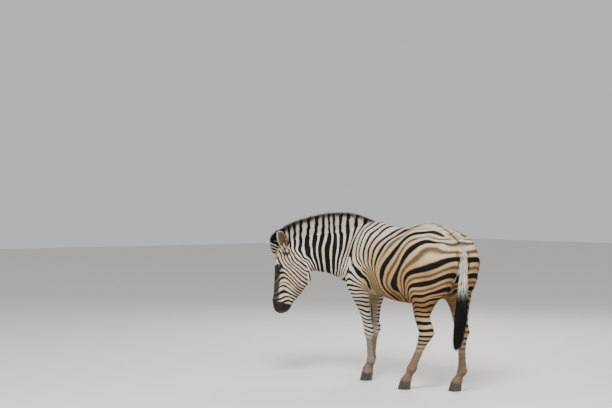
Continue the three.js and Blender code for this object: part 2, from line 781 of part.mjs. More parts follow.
function makeHoof(name) {
  const { side, joints } = LEGS[name];
  const [x, y] = joints[3];
  const wall = new THREE.CylinderGeometry(1, 1, 1, 20, 1).rotateX(Math.PI / 2);
  const at = wall.attributes.position;
  const top = hoofTop(name);
  for (let i = 0; i < at.count; i++) {
    const up = at.getZ(i) + 0.5; // 0 at the sole, 1 at the coronet
    const rear = at.getY(i) > 0;
    const spread = THREE.MathUtils.lerp(1.12, 0.93, up);
    const px = at.getX(i) * HOOF_HALF_WIDTH * spread;
    const py = at.getY(i) * (rear ? 44 : 50) * THREE.MathUtils.lerp(rear ? 1.0 : 1.16, 0.86, up) - (1 - up) * 16;
    const pz = up * (top.point[2] - half - py * top.normal[1]);
    at.setXYZ(i, side * x + px, y + py, pz);
  }
  return solidOf(wall);
}

function legPieces(name) {
  const { joints } = LEGS[name];
  const fore = name.startsWith("fore");
  const side = LEGS[name].side;
  const near = joints.map(([, y]) => y);
  const y0 = Math.min(...near) - (fore ? 190 : 260);
  const y1 = Math.max(...near) + (fore ? 200 : 260);
  const [x0, x1] = side > 0 ? [4, 380] : [-380, -4];
  const knee = plane([0, 0, kneeCut(name)], [0, 0, 1]);
  const upperBox = boxAround(x0, x1, y0, y1, kneeCut(name) - 60, fore ? 960 : 1080);
  const lowerBox = boxAround(x0, x1, y0, y1, 20, kneeCut(name) + 60);
  const upper = solidOf(facets(body, upperBox, fore ? cells(34, 34, 56) : cells(44, 46, 56)));
  const lower = solidOf(facets(body, lowerBox, cells(22, 21, 46)));
  const [topName, lowName] = fore ? ["forearm", "cannon"] : ["thigh", "cannon"];
  pieces[`${name}_${topName}`] = largest(upper.intersect(space([...legCuts(name), flip(knee)], half)));
  pieces[`${name}_${lowName}`] = largest(lower.intersect(space([knee, flip(hoofTop(name))], half)));
  pieces[`${name}_hoof`] = makeHoof(name);
}

pieces.trunk = makeTrunk();
pieces.neck = makeNeck();
const wholeHead = makeHead();
pieces.head = largest(wholeHead.intersect(behind(flip(jawCut), half)));
pieces.lower_jaw = largest(wholeHead.intersect(behind(jawCut, half)));
legNames.forEach(legPieces);

for (const [name, side] of Object.entries(SIDES)) {
  pieces[`eye_${name}`] = ball(eyeCentre(side), EYE_RADIUS);
  pieces[`ear_${name}`] = outside(earLeaf(side), ["head", "neck"]);
}
pieces.mane = outside(loft(mane(), 12), ["head", "neck", "trunk", "ear_left", "ear_right"]);
{
  const hanging = outside(loft(tail(), 10), ["trunk", "hind_left_thigh", "hind_right_thigh"]);
  pieces.tail_dock = largest(hanging.intersect(behind(flip(tuftCut), half)));
  pieces.tail_tuft = largest(hanging.intersect(behind(tuftCut, half)));
}

// ---------------------------------------------------------------- the scene graph
const COAT = { color: "#cfc3b2", roughness: 0.85, metalness: 0 };
const DARK_HAIR = { color: "#2b2624", roughness: 0.8, metalness: 0 };
const HORN = { color: "#4a433c", roughness: 0.55, metalness: 0 };
const WET = { color: "#1c120c", roughness: 0.08, metalness: 0 };

function finishOf(name) {
  if (name.startsWith("eye")) return WET;
  if (name.endsWith("hoof")) return HORN;
  if (name === "mane" || name === "tail_tuft") return DARK_HAIR;
  return COAT;
}

const zebra = new THREE.Group();
zebra.name = "zebra";
for (const [name, solid] of Object.entries(pieces)) {
  const mesh = new THREE.Mesh(geometryOf(solid), new THREE.MeshStandardMaterial(finishOf(name)));
  mesh.name = name;
  zebra.add(mesh);
}

// The origin is on the floor, below the middle of the whole animal.
const bounds = new THREE.Box3().setFromObject(zebra);
const middle = bounds.getCenter(vector(0, 0, 0));
zebra.position.set(-middle.x, -middle.y, 0);

export default zebra;
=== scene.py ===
import json
import math

import bmesh
import bpy
import numpy as np
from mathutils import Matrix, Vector

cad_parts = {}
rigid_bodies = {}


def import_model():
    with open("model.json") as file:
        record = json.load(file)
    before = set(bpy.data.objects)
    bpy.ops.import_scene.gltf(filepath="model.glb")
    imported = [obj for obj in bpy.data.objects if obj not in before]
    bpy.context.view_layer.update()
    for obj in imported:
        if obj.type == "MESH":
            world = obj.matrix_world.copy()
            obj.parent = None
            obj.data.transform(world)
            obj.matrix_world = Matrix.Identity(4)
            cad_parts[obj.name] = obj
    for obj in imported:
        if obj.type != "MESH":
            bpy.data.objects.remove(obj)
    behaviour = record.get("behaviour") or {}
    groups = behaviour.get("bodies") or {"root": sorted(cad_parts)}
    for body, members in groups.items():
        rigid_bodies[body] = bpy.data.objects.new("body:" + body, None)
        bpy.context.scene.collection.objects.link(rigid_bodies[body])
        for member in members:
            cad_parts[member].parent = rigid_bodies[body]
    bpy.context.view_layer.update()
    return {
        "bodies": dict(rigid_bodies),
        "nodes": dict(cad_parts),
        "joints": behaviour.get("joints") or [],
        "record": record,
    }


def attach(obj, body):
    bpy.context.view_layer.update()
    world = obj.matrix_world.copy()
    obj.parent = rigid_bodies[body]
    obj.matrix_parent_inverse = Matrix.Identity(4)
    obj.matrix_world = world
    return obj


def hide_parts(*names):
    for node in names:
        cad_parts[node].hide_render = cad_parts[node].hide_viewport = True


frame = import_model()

# ---------------------------------------------------------------- the flesh
# The real thing is one hide stretched over muscle and bone. Here each mass of flesh is a sweep: a row of
# egg-shaped sections along a line. The sweeps melt into one form, in millimetres from the point on the floor
# below the withers, with the trunk facing -Y and the animal's left at +X.
MM = 0.001
STAND = np.array([-177.41, -168.44, 0.0])  # from below the withers to the middle of the whole animal
FAR = 1e4  # stands for any distance too great to matter
LEVEL = np.array([0.0, 0.0, 1.0])
ACROSS = np.array([1.0, 0.0, 0.0])
SIDES = {"left": 1, "right": -1}


def unit(vectors):
    return vectors / np.maximum(np.linalg.norm(vectors, axis=-1, keepdims=True), 1e-9)


def smoothstep(low, high, value):
    share = np.clip((value - low) / (high - low), 0.0, 1.0)
    return share * share * (3.0 - 2.0 * share)


def bump(value, middle, half_width):
    """1 at the middle, falling smoothly to 0 at half_width from it."""
    return 1.0 - smoothstep(0.0, half_width, np.abs(value - middle))


def curve_rows(rows, steps):
    """Rows of numbers with steps between each two, along a Catmull-Rom curve."""
    rows = np.asarray(rows, float)
    ends = np.vstack([rows[:1], rows, rows[-1:]])
    found = []
    for a, b, c, d in zip(ends, ends[1:], ends[2:], ends[3:]):
        for t in np.arange(steps) / steps:
            rise = (c - a) / 2 * (t**3 - 2 * t**2 + t) + (d - b) / 2 * (t**3 - t**2)
            found.append(b * (2 * t**3 - 3 * t**2 + 1) + c * (3 * t**2 - 2 * t**3) + rise)
    return np.array(found + [rows[-1]])


def station(x, y, z, side, over, under=None):
    return [x, y, z, side, over, over if under is None else under]


def sweep(stations, lateral=None, square=2.0, steps=3, blend=40.0):
    """Sections along a line: half width to the side, and depths over and under the line."""
    rings = curve_rows(stations, steps)
    at = rings[:, :3]
    travel = unit(np.vstack([at[1:], at[-1:]]) - np.vstack([at[:1], at[:-1]]))
    across = unit(np.cross(travel, LEVEL)) if lateral is None else np.tile(unit(lateral), (len(at), 1))
    above = unit(np.cross(across, travel))
    reach = rings[:, 3:].max(axis=1, keepdims=True)
    low = (at - reach).min(axis=0)
    high = (at + reach).max(axis=0)
    form = dict(rings=rings, travel=travel, across=across, above=above)
    return dict(form, square=square, blend=blend, low=low, high=high)


def sweep_distance(form, points, margin):
    """About how far each point lies outside a sweep, negative inside it. Past the margin it counts as far."""
    margin = form["blend"] + margin
    near = np.all((points > form["low"] - margin) & (points < form["high"] + margin), axis=1)
    found = np.full(len(points), FAR)
    here = points[near]
    nearest = np.full(len(here), FAR)
    beyond = np.full(len(here), FAR)  # for points between no two section planes
    rings, n = form["rings"], form["square"]
    for i in range(len(rings) - 1):
        step = rings[i + 1, :3] - rings[i, :3]
        gap = here - rings[i, :3]
        turn = form["travel"][i + 1] - form["travel"][i]
        # the share t of the way between two section planes that turn into each other solves a quadratic
        ahead_of = gap @ form["travel"][i]
        rate = gap @ turn - step @ form["travel"][i]
        root = -rate + np.sqrt(np.maximum(rate**2 + 4 * (step @ turn) * ahead_of, 0.0))
        free = np.where(root > 1e-6, 2 * ahead_of / np.maximum(root, 1e-6), 2 * (ahead_of > 0))
        t = np.clip(free, 0.0, 1.0)
        held = (free < 0) & (i > 0) | (free > 1) & (i < len(rings) - 2)
        gap -= t[:, None] * step
        sizes = rings[i, 3:] + (rings[i + 1, 3:] - rings[i, 3:]) * t[:, None]
        across, up, along = [
            (gap @ form[axis][i]) * (1 - t) + (gap @ form[axis][i + 1]) * t
            for axis in ("across", "above", "travel")
        ]
        side = sizes[:, 0]
        height = np.where(up > 0, sizes[:, 1], sizes[:, 2])
        section = ((np.abs(across) / side) ** n + (np.abs(up) / height) ** n) ** (1 / n)
        share = np.maximum(np.hypot(section, along / np.minimum(side, height)), 1e-6)
        away = np.linalg.norm(gap, axis=1) * (1 - 1 / share)
        nearest = np.where(held, nearest, np.minimum(nearest, away))
        beyond = np.minimum(beyond, away)
    found[near] = np.where(nearest < FAR, nearest, beyond)
    return found


def melt(a, b, blend):
    """The union of two forms, with the crease between them filled over about the width of blend."""
    h = np.maximum(blend - np.abs(a - b), 0.0) / blend
    return np.minimum(a, b) - h * h * blend / 4


def carve(a, b, blend):
    """A form without another one, with the edge between them rounded."""
    return -melt(-a, b, blend)


def hoop(y, top, bottom, side):
    return station(0, y, (top + bottom) / 2, side, (top - bottom) / 2)


BARREL = [
    hoop(-200, 1110, 850, 115),
    hoop(-120, 1180, 765, 165),
    hoop(0, 1205, 705, 205),
    hoop(160, 1200, 680, 245),
    hoop(320, 1195, 655, 285),
    hoop(460, 1198, 648, 300),
    hoop(580, 1215, 668, 286),
    hoop(690, 1220, 730, 258),
    hoop(790, 1175, 840, 220),
    hoop(870, 1110, 900, 165),
]
RIDGE = [
    station(0, -150, 1165, 50, 60),
    station(0, -20, 1188, 52, 72),
    station(0, 110, 1178, 55, 72),
    station(0, 250, 1160, 70, 62),
    station(0, 390, 1168, 82, 62),
    station(0, 560, 1190, 95, 68),
    station(0, 665, 1200, 100, 70),
    station(0, 770, 1166, 90, 66),
    station(0, 860, 1108, 70, 60),
    station(0, 915, 1062, 46, 46),
]
BREAST = [station(0, -150, 960, 130, 130, 120), station(0, -170, 850, 105, 95, 80)]
flesh = [
    sweep(BARREL, ACROSS, square=2.2, blend=60),
    sweep(RIDGE, ACROSS, blend=90),
    sweep(BREAST, ACROSS, blend=90),
]
for side in SIDES.values():
    swing = side * 30  # the right foreleg is forward
    blade = [
        station(side * 95, 20, 1130, 62, 95, 90),
        station(side * 140, -60, 1010, 75, 120, 105),
        station(side * 148, -140 + swing, 900, 78, 110, 88),
        station(side * 140, -90 + swing, 810, 78, 110, 95),
    ]
    flesh.append(sweep(blade, ACROSS, blend=70))
for side in SIDES.values():
    swing = side * -45  # the left hind leg is forward
    rump = [
        station(side * 115, 640, 1100, 125, 125, 160),
        station(side * 112, 760, 1070, 128, 118, 160),
        station(side * 102, 855, 1020, 116, 105, 130),
    ]
    rear = [
        station(side * 98, 838, 1075, 100, 118),
        station(side * 107, 825, 985, 132, 168),
        station(side * 115, 818, 865, 120, 158),
        station(side * 130, 772 + swing * 0.2, 788, 84, 122),
        station(side * 148, 752 + swing * 0.8, 715, 58, 98),
    ]
    front = [
        station(side * 150, 700, 1000, 105, 110),
        station(side * 174, 660 + swing * 0.6, 890, 88, 108),
        station(side * 170, 690 + swing, 785, 72, 95),
    ]
    flesh += [sweep(rump, ACROSS, blend=90), sweep(rear, ACROSS, blend=70), sweep(front, ACROSS, blend=80)]

# The neck bends to the left in its first half, and carries on straight.
NECK_LENGTH = 815.0
NECK_TURN = math.radians(60)
NECK_BEND_END = 0.5
PLAN_STEPS = 200
plan_share = np.linspace(0.0, 1.0, PLAN_STEPS + 1)
plan_turn = NECK_TURN * smoothstep(0.0, NECK_BEND_END, (plan_share[1:] + plan_share[:-1]) / 2)
plan_line = np.zeros((PLAN_STEPS + 1, 3))
plan_line[1:, 0] = np.cumsum(np.sin(plan_turn)) * NECK_LENGTH / PLAN_STEPS
plan_line[1:, 1] = -np.cumsum(np.cos(plan_turn)) * NECK_LENGTH / PLAN_STEPS


def neck_plan(share):
    return np.array([np.interp(share, plan_share, plan_line[:, axis]) for axis in (0, 1, 2)])


# share of the neck's length: top and bottom height, half width
NECK_PROFILE = [
    (0.0, 1238, 800, 150),
    (0.2, 1230, 775, 142),
    (0.35, 1212, 786, 128),
    (0.45, 1200, 822, 118),
    (0.55, 1188, 852, 108),
    (0.66, 1174, 866, 99),
    (0.78, 1156, 876, 92),
    (0.9, 1130, 886, 86),
    (0.98, 1098, 900, 76),
]
neck_stations = []
for share, top, bottom, half in NECK_PROFILE:
    x, y, _ = neck_plan(share)
    neck_stations.append(station(x, y, (top + bottom) / 2, half, (top - bottom) / 2))
flesh.append(sweep(neck_stations, square=1.9, blend=110))

# Each leg is a row of joints, and a profile of sections on its bones: bone, share along it, share of the
# leg's bow to the rear, half width, depth to the rear, depth to the front.
FORE_PROFILE = [
    (0, 0.0, 0, 78, 100, 95),
    (0, 0.28, 0.5, 62, 80, 76),
    (0, 0.5, 1, 47, 60, 56),
    (0, 0.7, 1, 39, 47, 45),
    (0, 0.9, 0.4, 35, 39, 38),
    (1, 0.0, 0, 39, 42, 42),
    (1, 0.14, 0, 34, 39, 35),
    (1, 0.35, 0, 26, 33, 26),
    (1, 0.75, 0, 25, 33, 26),
    (1, 0.92, 0, 30, 38, 30),
    (2, 0.0, 0, 34, 40, 32),
    (2, 0.4, 0, 28, 31, 27),
    (2, 0.8, 0, 36, 37, 35),
    (2, 1.0, 0, 39, 40, 39),
]
HIND_PROFILE = [
    (0, 0.0, 0, 74, 106, 105),
    (0, 0.25, 0.6, 59, 94, 90),
    (0, 0.45, 1, 57, 88, 80),
    (0, 0.62, 1, 49, 76, 68),
    (0, 0.85, 0.6, 42, 64, 54),
    (1, 0.0, 0, 43, 58, 56),
    (1, 0.14, 0, 41, 52, 52),
    (1, 0.3, 0, 33, 42, 38),
    (1, 0.45, 0, 27, 38, 32),
    (1, 0.75, 0, 26, 37, 31),
    (1, 0.92, 0, 31, 42, 34),
    (2, 0.0, 0, 35, 42, 35),
    (2, 0.4, 0, 29, 32, 29),
    (2, 0.8, 0, 37, 38, 37),
    (2, 1.0, 0, 40, 41, 40),
]
# side, bow, and the joints: elbow or stifle, knee or hock, fetlock, top of the hoof
LEGS = {
    "fore_left": (1, 10, [(138, -95, 790), (93, -3, 405), (88, 14, 162), (88, -26, 66)]),
    "fore_right": (-1, -8, [(118, -160, 790), (89, -142, 408), (84, -182, 162), (84, -226, 66)]),
    "hind_left": (1, -42, [(154, 742, 760), (126, 722, 445), (143, 575, 168), (147, 514, 66)]),
    "hind_right": (-1, -4, [(146, 785, 760), (111, 852, 450), (105, 866, 165), (105, 808, 66)]),
}
for name, (side, bow, joints) in LEGS.items():
    fore = name.startswith("fore")
    joints = np.array(joints, float) * (side, 1, 1)
    stations = []
    for bone, share, bowed, half, behind, before in FORE_PROFILE if fore else HIND_PROFILE:
        x, y, z = joints[bone] + (joints[bone + 1] - joints[bone]) * share
        stations.append(station(x, y + bow * bowed, z, half, behind, before))
    flesh.append(sweep(stations, ACROSS, square=2.1, blend=55 if fore else 65))
    x, y, z = joints[1]
    if fore:
        heel = [station(x, y + 32, z + 12, 20, 16), station(x, y + 32, z - 22, 20, 16)]
    else:
        heel = [station(x, y + 42, z + 70, 18, 20), station(x, y + 58, z + 4, 24, 24)]
    flesh.append(sweep(heel, ACROSS, blend=30))

# The head has its own frame: to its left, out to the front of the face, and s from the poll down to the lips.
POLL_HEIGHT = 1082.0
HEAD_TURN = math.radians(53)
HEAD_TIP = math.radians(3)
head_origin = neck_plan(1.0) + LEVEL * POLL_HEIGHT
ahead = np.array([math.sin(HEAD_TURN), -math.cos(HEAD_TURN), 0.0])
head_down = unit(-LEVEL * math.cos(HEAD_TIP) + ahead * math.sin(HEAD_TIP))
head_left = np.cross(LEVEL, ahead)
head_out = np.cross(head_down, head_left)
head_axes = np.array([head_left, head_out, head_down])


def on_head(side, out, s):
    return head_origin + np.array([side, out, s]) @ head_axes


def in_head(points):
    """Side, out and s of points, in the head's frame."""
    return (points - head_origin) @ head_axes.T


def head_station(s, side, before, behind, shift=0, out=0):
    return [*on_head(shift, out, s), side, behind, before]


SKULL = [
    head_station(20, 62, 48, 95),
    head_station(80, 84, 64, 130),
    head_station(150, 91, 73, 145),
    head_station(205, 88, 73, 140),
    head_station(275, 76, 72, 120),
    head_station(350, 62, 72, 105),
    head_station(425, 55, 70, 90),
    head_station(468, 57, 71, 78),
    head_station(500, 58, 64, 66),
]
JAW_BAR = [
    head_station(230, 56, 70, 92, 0, -128),
    head_station(310, 50, 70, 76, 0, -108),
    head_station(390, 40, 60, 56, 0, -80),
    head_station(450, 36, 50, 36, 0, -52),
]
head_flesh = [sweep(SKULL, head_left, square=2.2, blend=45)]
for side in SIDES.values():
    cheek = [
        head_station(165, 34, 60, 84, side * 38, -115),
        head_station(215, 38, 85, 106, side * 38, -118),
        head_station(262, 40, 88, 108, side * 38, -118),
        head_station(315, 36, 85, 78, side * 38, -106),
        head_station(370, 28, 60, 60, side * 38, -92),
    ]
    head_flesh.append(sweep(cheek, head_left, blend=40))
head_flesh.append(sweep(JAW_BAR, head_left, blend=40))
for side in SIDES.values():
    brow = [head_station(132, 20, 22, 24, side * 72, 42), head_station(168, 18, 18, 20, side * 80, 46)]
    head_flesh.append(sweep(brow, head_left, blend=40))
MUZZLE = [head_station(455, 58, 56, 50, 0, 10), head_station(490, 57, 50, 44, 0, 8)]
LOWER_LIP = [head_station(455, 40, 40, 34, 0, -44), head_station(492, 38, 32, 30, 0, -44)]
head_flesh.append(sweep(MUZZLE, head_left))
head_flesh.append(sweep(LOWER_LIP, head_left, blend=26))
flesh += head_flesh

# the tail: x, y, height, half width and half depth of its hair; the flesh inside it ends where the long
# hair starts, and takes up four fifths of it
DOCK_SHARE = 0.8
TAIL_PROFILE = [
    (0, 890, 1085, 40, 38),
    (0, 942, 1074, 36, 34),
    (1, 983, 1030, 32, 31),
    (3, 1000, 955, 32, 31),
    (10, 1003, 860, 36, 36),
    (20, 1000, 760, 40, 39),
    (32, 997, 660, 41, 40),
    (45, 992, 560, 37, 36),
    (56, 988, 460, 31, 30),
    (63, 985, 380, 23, 22),
    (67, 983, 330, 10, 10),
]
dock = [station(x, y, z, DOCK_SHARE * side, DOCK_SHARE * depth) for x, y, z, side, depth in TAIL_PROFILE[:6]]
flesh.append(sweep(dock, ACROSS, blend=24))


def flesh_distance(points, margin=80.0):
    """About how far points lie outside the whole body, out to the tips of its coat."""
    found = np.full(len(points), FAR)
    for form in flesh:
        found = melt(found, sweep_distance(form, points, margin), form["blend"])
    return found


# ---------------------------------------------------------------- the skin
# One closed hide over all the flesh, with the folds of the face in it. It is drawn as the surface where the
# distance is zero, first on a coarse grid, and then finer on the legs and finest round the eyes and lips.
COAT_DEPTH = 3.5  # from the skin to the tips of the short coat
CELL = 12.0


def grid_surface(distance, low, high, cell):
    """Corners and four-sided faces of the surface where the distance is zero."""
    coarse = cell * 8
    counts = np.ceil((high - low) / coarse).astype(int) + 1
    axes = [low[axis] + coarse * np.arange(counts[axis]) for axis in (0, 1, 2)]
    nodes = np.stack(np.meshgrid(*axes, indexing="ij"), axis=-1)
    values = distance(nodes.reshape(-1, 3)).reshape(counts)
    step = coarse
    while step > cell * 1.01:
        step /= 2
        for axis in (0, 1, 2):
            first = np.take(values, range(values.shape[axis] - 1), axis=axis)
            second = np.take(values, range(1, values.shape[axis]), axis=axis)
            shape = list(values.shape)
            shape[axis] = shape[axis] * 2 - 1
            finer = np.empty(shape)
            even = [slice(None)] * 3
            odd = [slice(None)] * 3
            even[axis] = slice(0, None, 2)
            odd[axis] = slice(1, None, 2)
            finer[tuple(even)] = values
            finer[tuple(odd)] = (first + second) / 2
            values = finer
        close = np.argwhere(np.abs(values) < step * 2.6)
        values[tuple(close.T)] = distance(low + close * step)
    inside = values < 0
    corners = [(a, b, c) for a in (0, 1) for b in (0, 1) for c in (0, 1)]
    size = np.array(values.shape) - 1
    part = [inside[a:a + size[0], b:b + size[1], c:c + size[2]] for a, b, c in corners]
    count = np.sum(part, axis=0)
    cells = np.argwhere((count > 0) & (count < 8))
    total = np.zeros((len(cells), 3))
    crossings = np.zeros(len(cells))
    for one in corners:
        for two in corners:
            if sum(two) <= sum(one) or np.abs(np.subtract(one, two)).sum() != 1:
                continue
            va = values[tuple((cells + one).T)]
            vb = values[tuple((cells + two).T)]
            crossed = (va < 0) != (vb < 0)
            share = np.where(crossed, va / np.where(crossed, va - vb, 1.0), 0.0)
            total += crossed[:, None] * (np.array(one) + share[:, None] * np.subtract(two, one))
            crossings += crossed
    points = low + (cells + total / crossings[:, None]) * step
    number = np.full(size, -1)
    number[tuple(cells.T)] = np.arange(len(cells))
    faces = []
    for axis in (0, 1, 2):
        forward = np.eye(3, dtype=int)[axis]
        u = np.eye(3, dtype=int)[(axis + 1) % 3]
        v = np.eye(3, dtype=int)[(axis + 2) % 3]
        one = inside[tuple(slice(0, n) for n in size)]
        two = inside[tuple(slice(forward[k], forward[k] + size[k]) for k in (0, 1, 2))]
        for leaving in (True, False):
            edges = np.argwhere((one != two) & (one == leaving))
            edges = edges[np.all(edges - u - v >= 0, axis=1)]
            around = [edges - u - v, edges - v, edges, edges - u]
            if not leaving:
                around.reverse()
            faces.append(np.stack([number[tuple(cell_at.T)] for cell_at in around], axis=1))
    return points, np.vstack(faces)


EYE_AT = (84.0, 36.0, 176.0)
EYE_RADIUS = 21.0
LID_DEPTH = 4.0  # the flesh round the ball, before the lids are drawn in it
EYE_CENTRES = {name: on_head(side * EYE_AT[0], *EYE_AT[1:]) for name, side in SIDES.items()}
NOSTRIL_AT = (46.0, 38.0, 488.0)  # side, out and s in the head's frame
CORONET_HEIGHT = 58.0  # where the skin ends, well inside the top of the hoof


def from_eyes(points):
    """How far points are from the middle of the nearer eye."""
    return np.min([np.linalg.norm(points - centre, axis=1) for centre in EYE_CENTRES.values()], axis=0)


def from_nostrils(side, out, s):
    """How far a place in the head's frame is from the nearer nostril."""
    return np.hypot(np.hypot(np.abs(side) - NOSTRIL_AT[0], out - NOSTRIL_AT[1]), s - NOSTRIL_AT[2])


def eye_axes(side):
    """Which way an eye looks, which way the slit of its lids runs down the face, and up across that slit."""
    gaze = unit(side * head_left * 0.90 + head_out * 0.40 + head_down * 0.12)
    slit = head_down * 0.90 - head_out * 0.42
    slit = unit(slit - gaze * (slit @ gaze))
    return gaze, slit, np.cross(gaze, slit) * side


def leg_line(side, joints, z):
    """Where the middle line of a leg is at some heights, and the leg's joints on its own side."""
    joints = np.array(joints, float) * (side, 1, 1)
    height = joints[::-1, 2]
    return np.interp(z, height, joints[::-1, 0]), np.interp(z, height, joints[::-1, 1]), joints


def lip_line(out, s):
    """How far in front of the slit between the lips a point of the muzzle is."""
    return out + 26 + 0.16 * (s - 540)


def head_relief(points):
    """How far the face's small forms stand out, in millimetres."""
    side, out, s = in_head(points).T
    wide = np.abs(side)
    rise = np.zeros(len(points))
    # the cheek bone, the hollow beside the nose and the one above the eye
    rise += 3.0 * bump(out + 20 + 0.10 * (s - 200), 0, 14) * bump(s, 285, 95) * smoothstep(40, 60, wide)
    rise -= 4.0 * bump(out - 18, 0, 30) * bump(s, 330, 90) * smoothstep(25, 50, wide)
    rise -= 3.5 * bump(s, 118, 26) * bump(out, 30, 34) * smoothstep(50, 70, wide)
    # the wing of the nostril, and the dip behind it
    rise += 3.0 * bump(s, 478, 34) * bump(out, 34, 30) * smoothstep(24, 44, wide)
    rise -= 3.0 * bump(s, 434, 24) * smoothstep(-40, 10, out) * smoothstep(20, 45, wide)
    # the slit between the lips, the lips on both sides of it, the mouth's corner and the dip behind the chin
    lips = lip_line(out, s)
    rise -= 6.0 * bump(lips, 0, 6.0) * smoothstep(438, 456, s)
    rise += 2.4 * bump(lips, 11, 10) * smoothstep(436, 470, s)
    rise += 2.2 * bump(lips, -11, 10) * smoothstep(436, 470, s)
    rise -= 3.0 * bump(s, 440, 12) * bump(lips, 0, 14)
    rise -= 3.0 * bump(out + 78, 0, 16) * bump(s, 470, 30)
    return rise * smoothstep(60, 100, s) * smoothstep(150, 120, wide)


RIB_SPACING = 62.0


def body_relief(points):
    """How far the body's small forms stand out, in millimetres."""
    x, y, z = points.T
    wide = np.abs(x)
    rise = np.zeros(len(points))
    trunk = smoothstep(560, 640, z) * smoothstep(300, 200, -y)
    # ribs, slanting down and back
    ribs = np.sin(2 * np.pi * (y + 0.25 * (z - 900)) / RIB_SPACING)
    rise += 0.8 * ribs * bump(y, 330, 190) * bump(z, 850, 190) * trunk
    # the hollow of the flank, and the skin from it to the stifle
    rise -= 7.0 * bump(y - 560 - 0.25 * (z - 900), 0, 60) * bump(z, 930, 130) * smoothstep(150, 220, wide)
    fold = y - 575 + 0.55 * (z - 760)
    rise += 6.0 * bump(fold, 0, 34) * bump(z, 770, 90) * smoothstep(120, 170, wide)
    # the hollow behind the elbow, and the edge of the shoulder blade
    rise -= 6.0 * bump(y - 35 - 0.35 * (z - 900), 0, 38) * bump(z, 880, 150) * smoothstep(90, 140, wide)
    rise += 4.0 * bump(y + 60 + 0.3 * (z - 1050), 0, 26) * bump(z, 1060, 110) * smoothstep(60, 90, wide)
    # the groove between the ham's muscles, and the one down the middle of the breast
    rise -= 5.0 * bump(y - 800, 0, 26) * bump(z, 880, 170) * smoothstep(100, 150, wide)
    rise -= 4.0 * bump(y + 165, 0, 30) * bump(wide, 0, 24) * bump(z, 880, 120)
    # two folds where the neck turns
    on_turn = bump(z, 1000, 170) * smoothstep(-60, -150, y)
    for fold_x, half in ((150, 34), (215, 30)):
        rise += 2.6 * bump(x - fold_x + 0.35 * (y + 150), 0, half) * on_turn
    return rise


def leg_relief(points):
    """Tendons behind the shafts, the knobs of knees, hocks and fetlocks, and the hollows between them."""
    rise = np.zeros(len(points))
    x, y, z = points.T
    for side, _, joints in LEGS.values():
        line_x, line_y, joints = leg_line(side, joints, z)
        close = smoothstep(130, 90, np.hypot(x - line_x, y - line_y)) * smoothstep(620, 540, z)
        knee, fetlock = joints[1, 2], joints[2, 2]
        shaft = smoothstep(fetlock + 10, fetlock + 60, z) * smoothstep(knee - 40, knee - 90, z)
        hollow = bump(y - line_y, 8, 12) * smoothstep(8, 20, np.abs(x - line_x))
        rise -= 3.2 * hollow * shaft * close
        rise += 2.5 * bump(z, knee - 26, 20) * smoothstep(10, 30, np.abs(x - line_x)) * close
        rise += 2.0 * bump(z, knee + 22, 18) * smoothstep(10, 30, np.abs(x - line_x)) * close
        rise -= 2.0 * bump(z, knee - 2, 12) * bump(y - line_y, -30, 30) * close
        rise += 2.4 * bump(z, fetlock, 22) * smoothstep(12, 28, np.abs(x - line_x)) * close
        rise -= 2.0 * bump(z, fetlock - 44, 20) * close
        rise += 2.5 * bump(z, 80, 14) * close
    return rise


def hide_distance(points, margin=80.0):
    """About how far points lie outside the bare hide, before its small forms are raised."""
    found = flesh_distance(points, margin) + COAT_DEPTH
    return melt(found, from_eyes(points) - EYE_RADIUS - LID_DEPTH, 26.0)


def skin_distance(points):
    """The same, close to the hide, with its ends inside the hooves."""
    return carve(hide_distance(points, 30.0), points[:, 2] - CORONET_HEIGHT, 3.0)


def towards_surface(points, passes):
    """Points moved along the slope of the hide's distance, onto the hide."""
    here = skin_distance(points)
    slope = unit(np.stack([skin_distance(points + np.eye(3)[axis]) - here for axis in (0, 1, 2)], axis=1))
    for left in reversed(range(passes)):
        points = points - slope * np.clip(here, -7.0, 7.0)[:, None]
        here = skin_distance(points) if left else here
    return points


def outward_of(points, faces):
    """The outward direction at each point of a mesh of triangles."""
    a, b, c = (points[faces[:, corner]] for corner in (0, 1, 2))
    face_way = np.cross(b - a, c - a)
    total = np.zeros_like(points)
    for corner in (0, 1, 2):
        for axis in (0, 1, 2):
            total[:, axis] += np.bincount(faces[:, corner], face_way[:, axis], len(points))
    return unit(total)


def relaxed(points, pairs, rate):
    """Points drawn towards the middle of their neighbours."""
    total = np.zeros_like(points)
    count = np.bincount(pairs.ravel(), minlength=len(points))
    for axis in (0, 1, 2):
        total[:, axis] += np.bincount(pairs[:, 0], points[pairs[:, 1], axis], len(points))
        total[:, axis] += np.bincount(pairs[:, 1], points[pairs[:, 0], axis], len(points))
    return points + rate * (total / count[:, None] - points)


def wants_finer(points, level):
    """Which points lie where the mesh is made finer: the legs and head first, then muzzle and eyes."""
    side, out, s = in_head(points).T
    on_face = (s > -10) & (np.hypot(side, out) < 260) & (points[:, 2] < 1120)
    eye = from_eyes(points)
    nostril = from_nostrils(side, out, s)
    if level == 0:
        return on_face | (points[:, 2] < 620)
    if level == 1:
        return on_face & ((s > 425) | (eye < 62))
    return on_face & ((eye < 42) | (nostril < 36) | ((s > 436) & (np.abs(lip_line(out, s)) < 15)))


